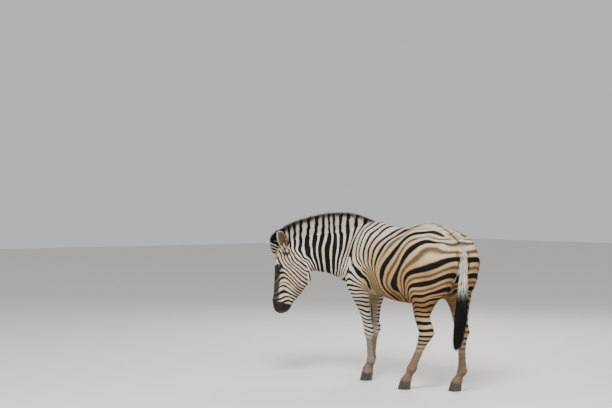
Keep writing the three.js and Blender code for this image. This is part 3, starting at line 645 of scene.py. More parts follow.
SPACE_LOW = np.array([-400.0, -760.0, 20.0])
SPACE_HIGH = np.array([760.0, 1180.0, 1330.0])
points, faces = grid_surface(hide_distance, SPACE_LOW, SPACE_HIGH, CELL)
work = bmesh.new()
corners = [work.verts.new(p) for p in points]
for face in faces:
    work.faces.new([corners[i] for i in face])
for level in (0, 1, 2):
    places = np.array([v.co[:] for v in work.verts])
    chosen = wants_finer(places, level)
    work.verts.index_update()
    edges = [e for e in work.edges if chosen[e.verts[0].index] and chosen[e.verts[1].index]]
    bmesh.ops.subdivide_edges(work, edges=edges, cuts=1, use_grid_fill=True)
bmesh.ops.triangulate(work, faces=work.faces[:])
work.verts.index_update()
points = np.array([v.co[:] for v in work.verts])
pairs = np.array([[v.index for v in e.verts] for e in work.edges])
faces = np.array([[v.index for v in f.verts] for f in work.faces])
work.free()
points = towards_surface(points, 2)
for _ in range(3):
    points = relaxed(points, pairs, 0.5)
points = towards_surface(points, 2)
outward = outward_of(points, faces)
side, out, s = in_head(points).T
on_face = (s > 40) & (np.hypot(side, out) < 320) & (points[:, 2] < 1060)
rise = np.where(on_face, head_relief(points), body_relief(points) * smoothstep(560, 640, points[:, 2]))
rise += np.where(points[:, 2] < 640, leg_relief(points), 0.0)
points = points + outward * rise[:, None]


def almond(along, across, half_length, half_width):
    """Negative inside a pointed oval, in about the units it is given."""
    width = half_width * np.maximum(1 - (along / half_length) ** 2, 0.0)
    past_end = np.abs(along) - half_length
    return np.where(past_end < 0, np.abs(across) - width, np.hypot(past_end, across))


# The lids lie close on the eye's ball. The slit between them runs from the rear corner down to the front one.
LID_REACH = 46.0
SLIT_HALF_LENGTH = 23.5
UPPER_GAP = 15.5
LOWER_GAP = 11.5
for name, side in SIDES.items():
    centre = EYE_CENTRES[name]
    gaze, slit, upper = eye_axes(side)
    near = np.where(np.linalg.norm(points - centre, axis=1) < LID_REACH)[0]
    arm = points[near] - centre
    near = near[arm @ gaze > 4]
    arm = points[near] - centre
    reach = np.linalg.norm(arm, axis=1)
    along = arm @ slit
    across = arm @ upper
    middle = 2.0 - 0.004 * along**2
    gap = almond(along, across - middle, SLIT_HALF_LENGTH, np.where(across > middle, UPPER_GAP, LOWER_GAP))
    lid = EYE_RADIUS + 2.6
    snug = 1 - smoothstep(5, 17, gap)
    new_reach = reach + (np.minimum(lid, reach) - reach) * snug
    # the rim of both lids, two creases over the eye and one under it, and the edge that dips behind the ball
    new_reach += 1.1 * bump(gap, 1.4, 2.4)
    new_reach -= 2.4 * bump(gap, 8.5 + 0.1 * across, 3.4) * smoothstep(0, 6, across)
    new_reach -= 1.5 * bump(gap, 14.0, 3.0) * smoothstep(2, 8, across)
    new_reach -= 1.6 * bump(gap, 7.5, 3.0) * smoothstep(0, -6, across)
    new_reach -= (lid - EYE_RADIUS + 3.6) * smoothstep(0.6, -1.4, gap)
    points[near] = centre + arm / reach[:, None] * new_reach[:, None]

# A nostril is a slanting slit in the side of the muzzle, with a soft outer wing.
for side in SIDES.values():
    mouth = on_head(side * NOSTRIL_AT[0], *NOSTRIL_AT[1:])
    slit = unit(head_down * 0.80 - head_out * 0.60 - side * head_left * 0.1)
    outward = unit(side * head_left * 0.86 + head_out * 0.42 + head_down * 0.25)
    outward = unit(outward - slit * (outward @ slit))
    wing = np.cross(outward, slit)
    arm = points - mouth
    near = np.where(np.linalg.norm(arm, axis=1) < 46)[0]
    along = arm[near] @ slit
    across = arm[near] @ wing
    gap = almond(along, across - 0.008 * along**2, 23.0, 7.5)
    push = 3.0 * bump(gap, 4.5, 6.0) - 15.0 * smoothstep(1.5, -4.0, gap)
    points[near] += push[:, None] * outward

# ---------------------------------------------------------------- the markings
# The stripes are in the hairs themselves: black ones and cream ones grow in bands that part and join.
# Each band has a number that counts on along the body. Between the bands the number changes smoothly, so that
# one field over the body gives all of them: a hair is black where the number is close to a whole one.
LEAST_BLACK = 0.12
MOST_BLACK = 0.72


def spline_through(bands):
    """A smooth field through bands. Each has a number, the share of black there, and spots along it."""
    spots = np.array([spot for _, _, line in bands for spot in line], float)
    known = np.array([(number, share) for number, share, line in bands for _ in line], float)
    scale = 100.0
    give = 0.002  # how freely the field passes beside a spot

    def pull(apart):
        return apart * np.log(np.maximum(apart, 1e-12)) / 2

    apart = ((spots[:, None] - spots[None]) ** 2).sum(axis=2) / scale**2
    plane = np.column_stack([np.ones(len(spots)), spots / scale])
    system = np.block([[pull(apart) + give * np.eye(len(spots)), plane], [plane.T, np.zeros((3, 3))]])
    weights = np.linalg.solve(system, np.vstack([known, np.zeros((3, 2))]))

    def field(a, b):
        found = weights[len(spots)] + np.outer(a / scale, weights[-2]) + np.outer(b / scale, weights[-1])
        for spot, weight in zip(spots, weights):
            found += np.outer(pull(((a - spot[0]) ** 2 + (b - spot[1]) ** 2) / scale**2), weight)
        return found[:, 0], np.clip(found[:, 1], LEAST_BLACK, MOST_BLACK)

    return field


# Number, share of black, then spots: millimetres behind the withers along the neck and back, and height.
BODY_BANDS = [
    (-8, 0.50, [(-775, 1085), (-770, 1045)]),
    (-7, 0.36, [(-735, 1330)]),
    (-7, 0.52, [(-740, 1140), (-740, 1045), (-695, 985), (-645, 945)]),
    (-6, 0.36, [(-680, 1340)]),
    (-6, 0.60, [(-690, 1140), (-695, 1085), (-705, 1045), (-670, 980), (-585, 885)]),
    (-5, 0.40, [(-620, 1350)]),
    (-5, 0.66, [(-640, 1140), (-650, 1085), (-630, 1045), (-595, 945), (-570, 890)]),
    (-4, 0.40, [(-550, 1350)]),
    (-4, 0.72, [(-570, 1140), (-585, 1065), (-560, 945), (-540, 880)]),
    (-3, 0.34, [(-500, 1350)]),
    (-3, 0.62, [(-520, 1140), (-540, 1060), (-530, 945), (-510, 870)]),
    (-2, 0.42, [(-440, 1350)]),
    (-2, 0.72, [(-455, 1140), (-480, 1060), (-475, 945), (-455, 860)]),
    (-1, 0.38, [(-400, 1345)]),
    (-1, 0.64, [(-410, 1140), (-425, 1005), (-415, 860)]),
    (0, 0.42, [(-345, 1330)]),
    (0, 0.66, [(-360, 1125), (-370, 1045), (-395, 915), (-385, 825)]),
    (1, 0.40, [(-290, 1300)]),
    (1, 0.56, [(-295, 1125), (-320, 1045), (-370, 915), (-370, 830)]),
    (2, 0.42, [(-215, 1240), (-215, 1125), (-260, 1045), (-320, 970), (-355, 845)]),
    (3, 0.38, [(-130, 1250), (-110, 1140), (-140, 1050)]),
    (3, 0.38, [(-245, 985), (-305, 915), (-340, 850)]),
    (4, 0.40, [(-20, 1215), (-10, 1130), (-10, 1050)]),
    (4, 0.42, [(0, 985), (45, 925), (155, 865), (185, 805)]),
    (5, 0.38, [(45, 1220), (30, 1130), (25, 1050), (35, 985), (85, 925), (190, 870)]),
    (6, 0.38, [(100, 1220), (90, 1130), (85, 1050), (95, 990), (140, 930), (220, 870)]),
    (7, 0.38, [(160, 1215), (155, 1130), (155, 1055), (175, 995), (195, 930), (245, 870)]),
    (8, 0.42, [(330, 1210), (270, 1135), (240, 1055), (240, 995), (250, 935), (270, 875), (285, 745)]),
    (9, 0.36, [(645, 1262), (740, 1262)]),
    (9, 0.40, [(560, 1245), (480, 1230), (415, 1195), (365, 1130), (345, 1060),
               (320, 1000), (300, 935), (300, 875), (315, 750)]),
    (10, 0.28, [(900, 1178), (850, 1196)]),
    (10, 0.36, [(780, 1210)]),
    (10, 0.32, [(670, 1195), (595, 1150), (535, 1090), (485, 1005), (440, 945),
                (405, 870), (385, 760), (430, 675)]),
    (11, 0.17, [(980, 1100), (930, 1128)]),
    (11, 0.34, [(845, 1135), (740, 1100), (665, 1045), (605, 950), (545, 860)]),
    (11, 0.27, [(500, 770), (545, 705)]),
    (12, 0.34, [(995, 1005), (945, 970), (840, 940), (745, 915), (680, 885), (645, 840), (625, 780)]),
    (13, 0.38, [(980, 885), (930, 855), (815, 825), (730, 810), (665, 780)]),
    (14, 0.42, [(900, 765), (810, 735), (710, 725)]),
    (15, 0.42, [(855, 710), (795, 685), (695, 680)]),
    (16, 0.42, [(820, 665), (780, 645), (680, 640)]),
    (17, 0.40, [(820, 615), (760, 605), (670, 605)]),
    (18, 0.44, [(800, 575), (750, 572), (660, 570)]),
    (19, 0.46, [(800, 530), (745, 520), (660, 515)]),
    (20, 0.46, [(800, 475), (700, 465)]),
    (21, 0.46, [(820, 428), (700, 422)]),
    (22, 0.44, [(820, 396), (680, 392)]),
    (23, 0.42, [(820, 362), (640, 358)]),
    (24, 0.40, [(820, 326), (620, 322)]),
]
# the forelegs: distance behind the withers, and height
FORE_BANDS = [
    (0, 0.32, [(-300, 850), (-155, 915), (-65, 940), (-25, 900), (40, 830), (60, 750)]),
    (1, 0.36, [(-280, 795), (-85, 865), (5, 815), (45, 770)]),
    (2, 0.42, [(-225, 770), (-75, 812), (0, 785), (30, 750)]),
    (3, 0.46, [(-175, 750), (-80, 765), (-10, 760), (30, 735)]),
    (4, 0.44, [(-170, 722), (-25, 728), (25, 712)]),
    (5, 0.42, [(-195, 690), (-35, 698), (20, 690)]),
    (6, 0.42, [(-200, 662), (10, 664)]),
    (7, 0.42, [(-200, 628), (10, 632)]),
    (8, 0.42, [(-200, 592), (10, 597)]),
    (9, 0.44, [(-200, 556), (10, 556)]),
    (10, 0.44, [(-200, 526), (10, 524)]),
    (11, 0.42, [(-200, 499), (10, 498)]),
    (12, 0.42, [(-200, 470), (10, 469)]),
    (13, 0.42, [(-200, 440), (10, 439)]),
    (14, 0.40, [(-200, 408), (10, 408)]),
    (15, 0.38, [(-200, 374), (10, 374)]),
]
# the head: how far in front of its axis, and how far below the poll
HEAD_BANDS = [
    (1, 0.46, [(-90, 35), (-120, 78), (-145, 95), (-185, 125)]),
    (2, 0.45, [(-55, 35), (-85, 80), (-135, 128), (-182, 160)]),
    (3, 0.44, [(-35, 35), (-60, 85), (-72, 115), (-105, 145), (-165, 190)]),
    (4, 0.44, [(-8, 40), (-30, 85), (-42, 115), (-75, 150), (-135, 195), (-185, 228)]),
    (5, 0.44, [(8, 50), (-15, 120), (-55, 160), (-105, 198), (-170, 252)]),
    (6, 0.44, [(25, 70), (10, 120), (-30, 168), (-80, 210), (-140, 265)]),
    (7, 0.45, [(20, 150), (-5, 185), (-55, 225), (-105, 275), (-135, 302)]),
    (8, 0.46, [(42, 232), (12, 222), (-8, 218), (-30, 234), (-60, 260), (-110, 307)]),
    (9, 0.50, [(42, 312), (28, 290), (12, 270), (-10, 260), (-35, 268), (-60, 288), (-100, 330)]),
    (10, 0.26, [(15, 308), (-10, 300), (-35, 304), (-85, 342)]),
    (11, 0.48, [(42, 358), (30, 345), (-10, 326), (-35, 334), (-85, 367)]),
    (12, 0.46, [(35, 404), (8, 386), (-40, 380), (-75, 396)]),
    (13, 0.44, [(35, 444), (5, 434), (-40, 415), (-65, 418)]),
    (14, 0.50, [(5, 468), (-40, 446)]),
]
body_field = spline_through(BODY_BANDS)
fore_field = spline_through(FORE_BANDS)
head_field = spline_through(HEAD_BANDS)


def run_of(points):
    """How far behind the withers a point is, along the back and the middle line of the neck."""
    found = points[:, 1].copy()
    ahead_of = np.where(points[:, 1] < 0)[0]
    best = np.full(len(ahead_of), 1e12)
    for share, spot in zip(plan_share[::4], plan_line[::4]):
        apart = ((points[ahead_of, :2] - spot[:2]) ** 2).sum(axis=1)
        closer = apart < best
        best[closer] = apart[closer]
        found[ahead_of[closer]] = -share * NECK_LENGTH
    # between two of those spots, the share is carried on along the line's direction
    along = -found[ahead_of]
    at = np.array([np.interp(along, plan_share * NECK_LENGTH, plan_line[:, axis]) for axis in (0, 1)]).T
    turn = NECK_TURN * smoothstep(0.0, NECK_BEND_END, along / NECK_LENGTH)
    way = np.column_stack([np.sin(turn), -np.cos(turn)])
    found[ahead_of] -= np.clip(((points[ahead_of, :2] - at) * way).sum(axis=1), -12, 12)
    return found


def beside_line(points, run):
    """How far to the left of the middle line of the back and neck a point is."""
    share = np.clip(-run / NECK_LENGTH, 0, 1)
    middle_x, middle_y = (np.interp(share, plan_share, plan_line[:, axis]) for axis in (0, 1))
    turn = NECK_TURN * smoothstep(0.0, NECK_BEND_END, share)
    across = (points[:, 0] - middle_x) * np.cos(turn)
    return across + np.where(run < 0, (points[:, 1] - middle_y) * np.sin(turn), 0)


def wander(points, size, seed):
    """Gentle numbers, mostly between -1 and 1, that change over about the size."""
    rng = np.random.default_rng(seed)
    total = np.zeros(len(points))
    for _ in range(5):
        way = rng.normal(size=3) / size
        total += np.sin(points @ way * 2 + rng.uniform(0, 6.3))
    return total / 3


def leg_frame(points):
    """For each point: its nearness to a leg, and its place across and behind the middle line of that leg."""
    close = np.zeros(len(points))
    inner = np.zeros(len(points))
    behind = np.zeros(len(points))
    for side, _, joints in LEGS.values():
        line_x, line_y, _ = leg_line(side, joints, points[:, 2])
        near = smoothstep(150, 105, np.hypot(points[:, 0] - line_x, points[:, 1] - line_y))
        mine = near > close
        close[mine] = near[mine]
        inner[mine] = (-(points[:, 0] - line_x) * side)[mine]
        behind[mine] = (points[:, 1] - line_y)[mine]
    return close, inner, behind


MORE_SHOULDER_BANDS = 1.3  # on the right side, outside the neck's bend
BAR_SPACING = 58.0  # of the short bars across the croup's middle line
BAR_BLACK = 0.20
FOREHEAD_BLACK = 0.42
FOREHEAD_SPACING = 14.0
FORELEG_TOP = 945.0  # where the foreleg's bands take over, in a point below the neck
EAR_BASE = (72.0, -16.0, 52.0)  # side, out and s in the head's frame
STRAND_LONG = 14.0
STRAND_THIN = 1.5


def markings(points):
    """All that the coat's colours need at some points: named rows of three numbers.

    stripe_number: the count of bands on body, forelegs and head, whole in the middle of a black one.
    stripe_share: how far a point is on a foreleg and on the head, and the level that parts black from pale.
    stripe_fade: how far black fades, how strong the brown shadow bands are, and hair that is always black.
    tint: how warm the pale hair is, how taupe (on the legs partly painted shade), and how much dark skin or
    dark hair covers it.
    tone: the chin's grey, the nose's brown, and the brown of hair tips.
    grain: a place that is stretched along the hair, for its strands.
    """
    x, y, z = points.T
    side, out, s = in_head(points).T
    run = run_of(points)
    # the right side strays from the left one
    far_side = smoothstep(40, -60, np.where(run < -300, side, x))
    stray = wander(points, 90, 5) * far_side
    body, body_share = body_field(run + 14 * stray, z + 10 * stray)
    fore, fore_share = fore_field(np.clip(y + np.where(x < 0, 55, 0), -330, 140) + 8 * stray, z + 6 * stray)
    face, face_share = head_field(out + 4 * stray, s + 4 * stray)
    body += 0.05 * wander(points, 70, 1)
    # the neck's bend spreads the right shoulder, which has more bands for that
    outer_bend = smoothstep(-340, -110, run) * smoothstep(330, 0, run)
    outer_bend *= smoothstep(50, 220, -beside_line(points, run))
    body += MORE_SHOULDER_BANDS * outer_bend
    # on the flat top of the croup the bands end in points, and short thin bars cross the middle line
    croup = smoothstep(400, 500, y) * smoothstep(925, 865, y) * (z > 1000)
    bars = croup * smoothstep(74, 60, np.abs(x))
    clear = croup * smoothstep(34, 56, np.abs(x)) * smoothstep(105, 76, np.abs(x))
    body += (y / BAR_SPACING + 0.004 * np.abs(x) + 0.3 * (x < 0) - body) * bars
    body_share += (BAR_BLACK - body_share) * bars
    body_share *= 1 - clear
    fore += 0.10 * wander(points, 45, 2)
    face += 0.06 * wander(points, 26, 3)
    # the forehead's narrow stripes run lengthwise from the brows down to the nose
    front = smoothstep(30, 55, out - 0.22 * np.abs(side)) * smoothstep(75, 50, np.abs(side))
    front *= smoothstep(260, 200, s) * smoothstep(-30, 10, s)
    lengthwise = np.abs(side + 2 * wander(points, 40, 8)) / (FOREHEAD_SPACING + 0.02 * s)
    face = face + (lengthwise - face) * front
    # the head's bands take over behind the jaw, and the foreleg's in a point below the neck
    edge = np.maximum(-75 - 0.92 * (s - 40), -202)
    on_head_share = smoothstep(-16, 16, out - edge) * smoothstep(-60, -20, s)
    on_head_share *= smoothstep(330, 300, np.hypot(side, out)) * smoothstep(1150, 1100, z)
    left_edge = FORELEG_TOP + (run + 65) * 0.40 - z
    right_edge = FORELEG_TOP - (run + 65) * 1.4 - z
    on_fore = smoothstep(-14, 14, np.minimum(left_edge, right_edge) * 0.7) * smoothstep(200, 150, y)
    level = body_share + (fore_share - body_share) * on_fore
    level += (face_share + (FOREHEAD_BLACK - face_share) * front - level) * on_head_share
    level = np.cos(np.pi * level)

    # black fades inside the legs, along the belly and down the cannons
    close, inner, behind = leg_frame(points)
    close *= smoothstep(760, 640, z)
    hind = smoothstep(380, 460, y)
    belly = smoothstep(0.55, 0.95, -outward_hint(points)) * smoothstep(560, 640, z) * smoothstep(840, 760, z)
    within = smoothstep(2, 30, inner) * close
    cannon = close * np.where(hind > 0.5, smoothstep(385, 255, z), smoothstep(400, 330, z))
    fade = np.maximum.reduce([0.85 * within, 0.7 * belly * smoothstep(120, 60, np.abs(x)), 0.93 * cannon])
    # dark skin and hair: muzzle, nose, round the eyes, below their front corners, and in the ears' bases
    muzzle = smoothstep(452, 474, s + 0.22 * (out + 20)) * on_head_share
    nose = smoothstep(16, 34, out + 4 * wander(points, 24, 18)) * smoothstep(165, 215, s) * on_head_share
    ring = smoothstep(33, 27, from_eyes(points) + 3 * wander(points, 18, 21))
    tear = bump(np.hypot((out - 40) * 0.8, s - 214), 0, 20) * smoothstep(40, 60, np.abs(side)) * on_head_share
    pit = np.zeros(len(points))
    for way in SIDES.values():
        from_base = [side - way * EAR_BASE[0], out - EAR_BASE[1], s - EAR_BASE[2]]
        pit = np.maximum(pit, smoothstep(40, 28, np.linalg.norm(from_base, axis=0)))
    dark = np.maximum.reduce([muzzle, 0.88 * nose, ring, 0.8 * tear, 0.7 * pit])
    # hair that is always black: the line along the back, and one down each side of the tail
    ridge = smoothstep(11, 6, np.abs(x)) * smoothstep(330, 420, y) * smoothstep(800, 900, z)
    beside_tail = bump(np.abs(x) + 5 * wander(points, 60, 19), 60 - 0.06 * (1080 - z), 10)
    beside_tail *= smoothstep(900, 930, y) * smoothstep(780, 850, z) * smoothstep(1090, 1040, z)
    ridge = np.maximum(ridge, beside_tail)
    # the pale hair is warmest low on the flank and haunch
    warm = 0.10 + 0.55 * smoothstep(1290, 780, z) * smoothstep(-120, 260, run)
    warm += 0.16 * hind * smoothstep(1180, 900, z)
    warm += 0.20 * belly * smoothstep(60, 300, y) + 0.09 * wander(points, 120, 4)
    warm += 0.16 * smoothstep(380, 560, y) * smoothstep(1080, 1190, z)
    warm -= 0.30 * close * smoothstep(640, 560, z)
    warm = np.where(on_head_share > 0.5, 0.26 + 0.1 * wander(points, 50, 6), warm)
    warm += 0.35 * within * (1 - hind)
    # brown shadow bands lie between the black ones on the haunch, flank and thigh
    shadow = smoothstep(300, 430, run) * smoothstep(640, 700, z) * (1 - close) * smoothstep(1210, 1150, z)
    shadow = np.maximum(shadow, 0.5 * smoothstep(640, 690, z) * hind) * (1 - clear)
    chin = muzzle * smoothstep(520, 570, s - 0.2 * out)
    # the legs are greyer, partly in their own colour and partly as painted shade, more on their inner sides;
    # the face is a little greyer, and a chestnut streak runs down inside each foreleg
    grey = (0.50 + 0.12 * wander(points, 60, 7)) * close * smoothstep(760, 600, z) + 0.2 * within
    grey = np.maximum(grey, (0.24 + 0.08 * wander(points, 40, 17)) * on_head_share)
    chestnut = smoothstep(430, 480, z) * smoothstep(620, 570, z) * bump(behind, -6, 13) * within * (1 - hind)
    # taupe: the cannons' own colour, the grey of legs (partly painted shade) and face, and the ears' bases
    taupe = np.clip(np.maximum.reduce([0.9 * cannon, grey, pit]), 0, 1)
    # strands run along the body, and down the legs and face, where they are finer
    lengthways = np.column_stack([run / STRAND_LONG, z / STRAND_THIN, x / STRAND_THIN])
    down_leg = np.column_stack([z / STRAND_LONG, y / 1.4, x / 1.4])
    down_face = np.column_stack([s / 11, out / 1.2, side / 1.2])
    grain = lengthways + (down_leg - lengthways) * close[:, None]
    grain += (down_face - grain) * on_head_share[:, None]
    return {
        "stripe_number": np.column_stack([body, fore, face]),
        "stripe_share": np.column_stack([on_fore, on_head_share, level]),
        "stripe_fade": np.column_stack([np.clip(fade, 0, 1), shadow, ridge]),
        "tint": np.column_stack([np.clip(warm, 0, 1), taupe, np.maximum(dark, chestnut)]),
        "tone": np.column_stack([chin, nose, np.zeros(len(points))]),
        "grain": grain,
    }


def outward_hint(points):
    """How far up a point of the trunk faces: -1 for the belly's lowest line."""
    above = points[:, 2] - 900
    return np.clip(above / 230 - 0.35 * (np.abs(points[:, 0]) / 290) ** 2 * np.sign(above), -1, 1)


def set_rows(mesh, rows):
    """Stores named rows of three numbers on a mesh's points."""
    for name, values in rows.items():
        stored = mesh.attributes.new(name, "FLOAT_VECTOR", "POINT")
        stored.data.foreach_set("vector", np.asarray(values, np.float32).ravel())


def linear(hex_colour):
    """An sRGB hex value as the linear colour that a shader reads."""
    parts = [int(hex_colour[i:i + 2], 16) / 255 for i in (1, 3, 5)]
    return [c / 12.92 if c <= 0.04045 else ((c + 0.055) / 1.055) ** 2.4 for c in parts] + [1.0]


def add(tree, kind, inputs=None, **settings):
    """Adds a node with its settings, and gives each of its inputs a value or a link."""
    made = tree.nodes.new(kind)
    for key, value in settings.items():
        setattr(made, key, value)
    for key, value in (inputs or {}).items():
        if isinstance(value, bpy.types.NodeSocket):
            tree.links.new(value, made.inputs[key])
        else:
            made.inputs[key].default_value = value
    return made


STRAND_HEIGHT = 0.0012  # of the bump, in metres


def new_material(name):
    """A material, its node tree and its shader."""
    material = bpy.data.materials.new(name)
    material.use_nodes = True
    return material, material.node_tree, material.node_tree.nodes["Principled BSDF"]


def coat_material(name, black, relief=0.5):
    """Zebra hair, black or pale by its place in the bands. Fine strands make it streaky and nearly matt."""
    material, tree, shader = new_material(name)
    read = {}
    for row in ("stripe_number", "stripe_share", "stripe_fade", "tint", "tone"):
        held = add(tree, "ShaderNodeAttribute", attribute_name=row)
        split = add(tree, "ShaderNodeSeparateXYZ", {0: held.outputs["Vector"]})
        read[row] = split.outputs
    strand_place = add(tree, "ShaderNodeAttribute", attribute_name="grain").outputs["Vector"]
    strand = add(tree, "ShaderNodeTexNoise", {"Vector": strand_place, "Scale": 1.0, "Detail": 3.0})
    strand_value = strand.outputs["Fac"]
    # a band's edge is hairy: each strand near it may be black or pale
    waves = []
    for number in read["stripe_number"]:
        turned = add(tree, "ShaderNodeMath", {0: number, 1: 2 * math.pi}, operation="MULTIPLY").outputs[0]
        waves.append(add(tree, "ShaderNodeMath", {0: turned}, operation="COSINE").outputs[0])
    on_fore, on_face, level = read["stripe_share"]
    wave = add(tree, "ShaderNodeMix", {0: on_fore, 2: waves[0], 3: waves[1]}).outputs[0]
    wave = add(tree, "ShaderNodeMix", {0: on_face, 2: wave, 3: waves[2]}).outputs[0]
    loose = add(
        tree, "ShaderNodeMapRange", {"Value": strand_value, 1: 0.3, 2: 0.7, 3: -0.22, 4: 0.22}
    ).outputs[0]
    hairy = add(tree, "ShaderNodeMath", {0: wave, 1: loose}, operation="ADD").outputs[0]
    above = add(tree, "ShaderNodeMath", {0: hairy, 1: level}, operation="SUBTRACT").outputs[0]
    black_share = add(
        tree, "ShaderNodeMapRange", {"Value": above, 1: -0.09, 2: 0.09, 3: 0.0, 4: 1.0}
    ).outputs[0]
    fade, shadow, ridge = read["stripe_fade"]
    kept = add(tree, "ShaderNodeMath", {0: 1.0, 1: fade}, operation="SUBTRACT").outputs[0]
    black_share = add(tree, "ShaderNodeMath", {0: black_share, 1: kept}, operation="MULTIPLY").outputs[0]
    black_share = add(tree, "ShaderNodeMath", {0: black_share, 1: ridge}, operation="MAXIMUM").outputs[0]
    # the pale hair: cream on the neck, buff to ochre low on the flank, with a brown shadow band in the middle
    ramp = add(tree, "ShaderNodeValToRGB", {0: read["tint"][0]})
    ramp.color_ramp.elements[0].color = linear("#f1e9dc")
    ramp.color_ramp.elements[1].color = linear("#ab7c42")
    ramp.color_ramp.elements.new(0.45).color = linear("#d8bb90")
    depth = add(tree, "ShaderNodeMapRange", {"Value": hairy, 1: -0.62, 2: -0.92, 3: 0.0, 4: 0.95}).outputs[0]
    depth = add(tree, "ShaderNodeMath", {0: depth, 1: shadow}, operation="MULTIPLY").outputs[0]
    # each colour covers the one before it by its share; stiff hair is dark brown at its tips
    colour = ramp.outputs[0]
    for cover, hex_colour in (
        (depth, "#54402f"),
        # taupe, which on the legs and the mane is partly painted shade
        (read["tint"][1], "#75634f"),
        (read["tone"][2], "#2b2019"),
        (black_share, black),
    ):
        mixed = {0: cover, 6: colour, 7: linear(hex_colour)}
        colour = add(tree, "ShaderNodeMix", mixed, data_type="RGBA").outputs[2]
    # the muzzle's dark skin shows through its sparse hair, the chin is greyer and the nose browner
    bare = linear("#1d1815")
    for cover, hex_colour in ((read["tone"][0], "#5b4d41"), (read["tone"][1], "#28201b")):
        mixed = {0: cover, 6: bare, 7: linear(hex_colour)}
        bare = add(tree, "ShaderNodeMix", mixed, data_type="RGBA").outputs[2]
    mixed = {0: read["tint"][2], 6: colour, 7: bare}
    colour = add(tree, "ShaderNodeMix", mixed, data_type="RGBA").outputs[2]
    # some strands are darker, and they stand a little apart
    shade = add(
        tree, "ShaderNodeMapRange", {"Value": strand_value, 1: 0.25, 2: 0.75, 3: 0.66, 4: 1.22}
    ).outputs[0]
    mixed = {0: 1.0, 6: colour, 7: shade}
    colour = add(tree, "ShaderNodeMix", mixed, data_type="RGBA", blend_type="MULTIPLY").outputs[2]
    tree.links.new(colour, shader.inputs["Base Color"])
    raised = add(
        tree, "ShaderNodeBump", {"Height": strand_value, "Strength": relief, "Distance": STRAND_HEIGHT}
    ).outputs[0]
    tree.links.new(raised, shader.inputs["Normal"])
    gloss = add(
        tree, "ShaderNodeMapRange", {"Value": strand_value, 1: 0.3, 2: 0.7, 3: 0.80, 4: 0.58}
    ).outputs[0]
    tree.links.new(gloss, shader.inputs["Roughness"])
    shader.inputs["Specular IOR Level"].default_value = 0.2
    return material


def piece_of(name, points, faces, material):
    """A piece from points in millimetres and faces, set in the shared frame in metres."""
    mesh = bpy.data.meshes.new(name)
    mesh.from_pydata((points + STAND) * MM, [], [list(map(int, face)) for face in faces])
    mesh.materials.append(material)
    mesh.shade_smooth()
    made = bpy.data.objects.new(name, mesh)
    bpy.context.scene.collection.objects.link(made)
    return made


# Between the locks the hide shows its own short hair: flat, streaked and matt.
HIDE = coat_material("short_striped_hair_on_hide", "#0d0a08")
hide = piece_of("hide", points, faces, HIDE)
set_rows(hide.data, markings(points))
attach(hide, "root")
flesh_nodes = ["trunk", "neck", "head", "lower_jaw", "tail_dock"]
for side in SIDES:
    flesh_nodes += [f"fore_{side}_forearm", f"fore_{side}_cannon"]
    flesh_nodes += [f"hind_{side}_thigh", f"hind_{side}_cannon"]
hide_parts(*flesh_nodes)


def loft_of(form, around):
    """The skin of a sweep: rings of points with faces between them and over both ends."""
    turns = np.arange(around) * 2 * math.pi / around
    power = 2 / form["square"]
    u = np.sign(np.cos(turns)) * np.abs(np.cos(turns)) ** power
    v = np.sign(np.sin(turns)) * np.abs(np.sin(turns)) ** power
    rings = []
    for i, ring in enumerate(form["rings"]):
        wide = np.outer(u * ring[3], form["across"][i])
        tall = np.outer(v * np.where(v > 0, ring[4], ring[5]), form["above"][i])
        rings.append(ring[:3] + wide + tall)
    return np.vstack(rings), ring_faces(len(rings), around)


def ring_faces(rings, around):
    """Faces between rings of points, and one over each end."""
    faces = []
    for i in range(rings - 1):
        for j in range(around):
            k = (j + 1) % around
            faces.append((i * around + j, i * around + k, (i + 1) * around + k, (i + 1) * around + j))
    faces.append(tuple(reversed(range(around))))
    faces.append(tuple(range((rings - 1) * around, rings * around)))
    return faces


def faced_out(made):
    """Turns a closed piece's faces outwards."""
    work = bmesh.new()
    work.from_mesh(made.data)
    bmesh.ops.recalc_face_normals(work, faces=work.faces[:])
    work.to_mesh(made.data)
    work.free()


def set_patches(made, corner_places):
    """Gives a piece its UV map for baking, from one place for each corner of its faces."""
    layer = made.data.uv_layers.new(name="OFBake")
    layer.uv.foreach_set("vector", np.asarray(corner_places, np.float32).ravel())


def ring_patches(made, rings, round_ring, frame):
    """The map of a lofted piece: round it across one rectangle, and along it up the rectangle."""
    corner = np.empty(len(made.data.loops), np.int32)
    made.data.loops.foreach_get("vertex_index", corner)
    left, bottom, wide, tall = frame
    turn = np.tile(round_ring, rings)[corner]
    along = np.repeat(np.linspace(0, 1, rings), len(round_ring))[corner]
    set_patches(made, np.column_stack([left + wide * turn, bottom + tall * along]))


def outward_at_points(made):
    """The outward direction at each point of a piece."""
    found = np.empty(len(made.data.vertices) * 3, np.float32)
    made.data.vertex_normals.foreach_get("vector", found)
    return found.reshape(-1, 3)


PAST_CUT = 1.06  # room on the map for the faces that cross the cut


def wrapped(turn, along, corner_points, frame):
    """Places on one rectangle of the map, for faces round a middle line. A face on the cut stays whole."""
    turn = turn[corner_points]
    turn = np.where(turn.max(axis=1, keepdims=True) - turn > 0.5, turn + 1, turn)
    along = along[corner_points]
    left, bottom, wide, tall = frame
    share = (along - along.min()) / (along.max() - along.min())
    return np.stack([left + wide * turn / PAST_CUT, bottom + tall * share], axis=-1)


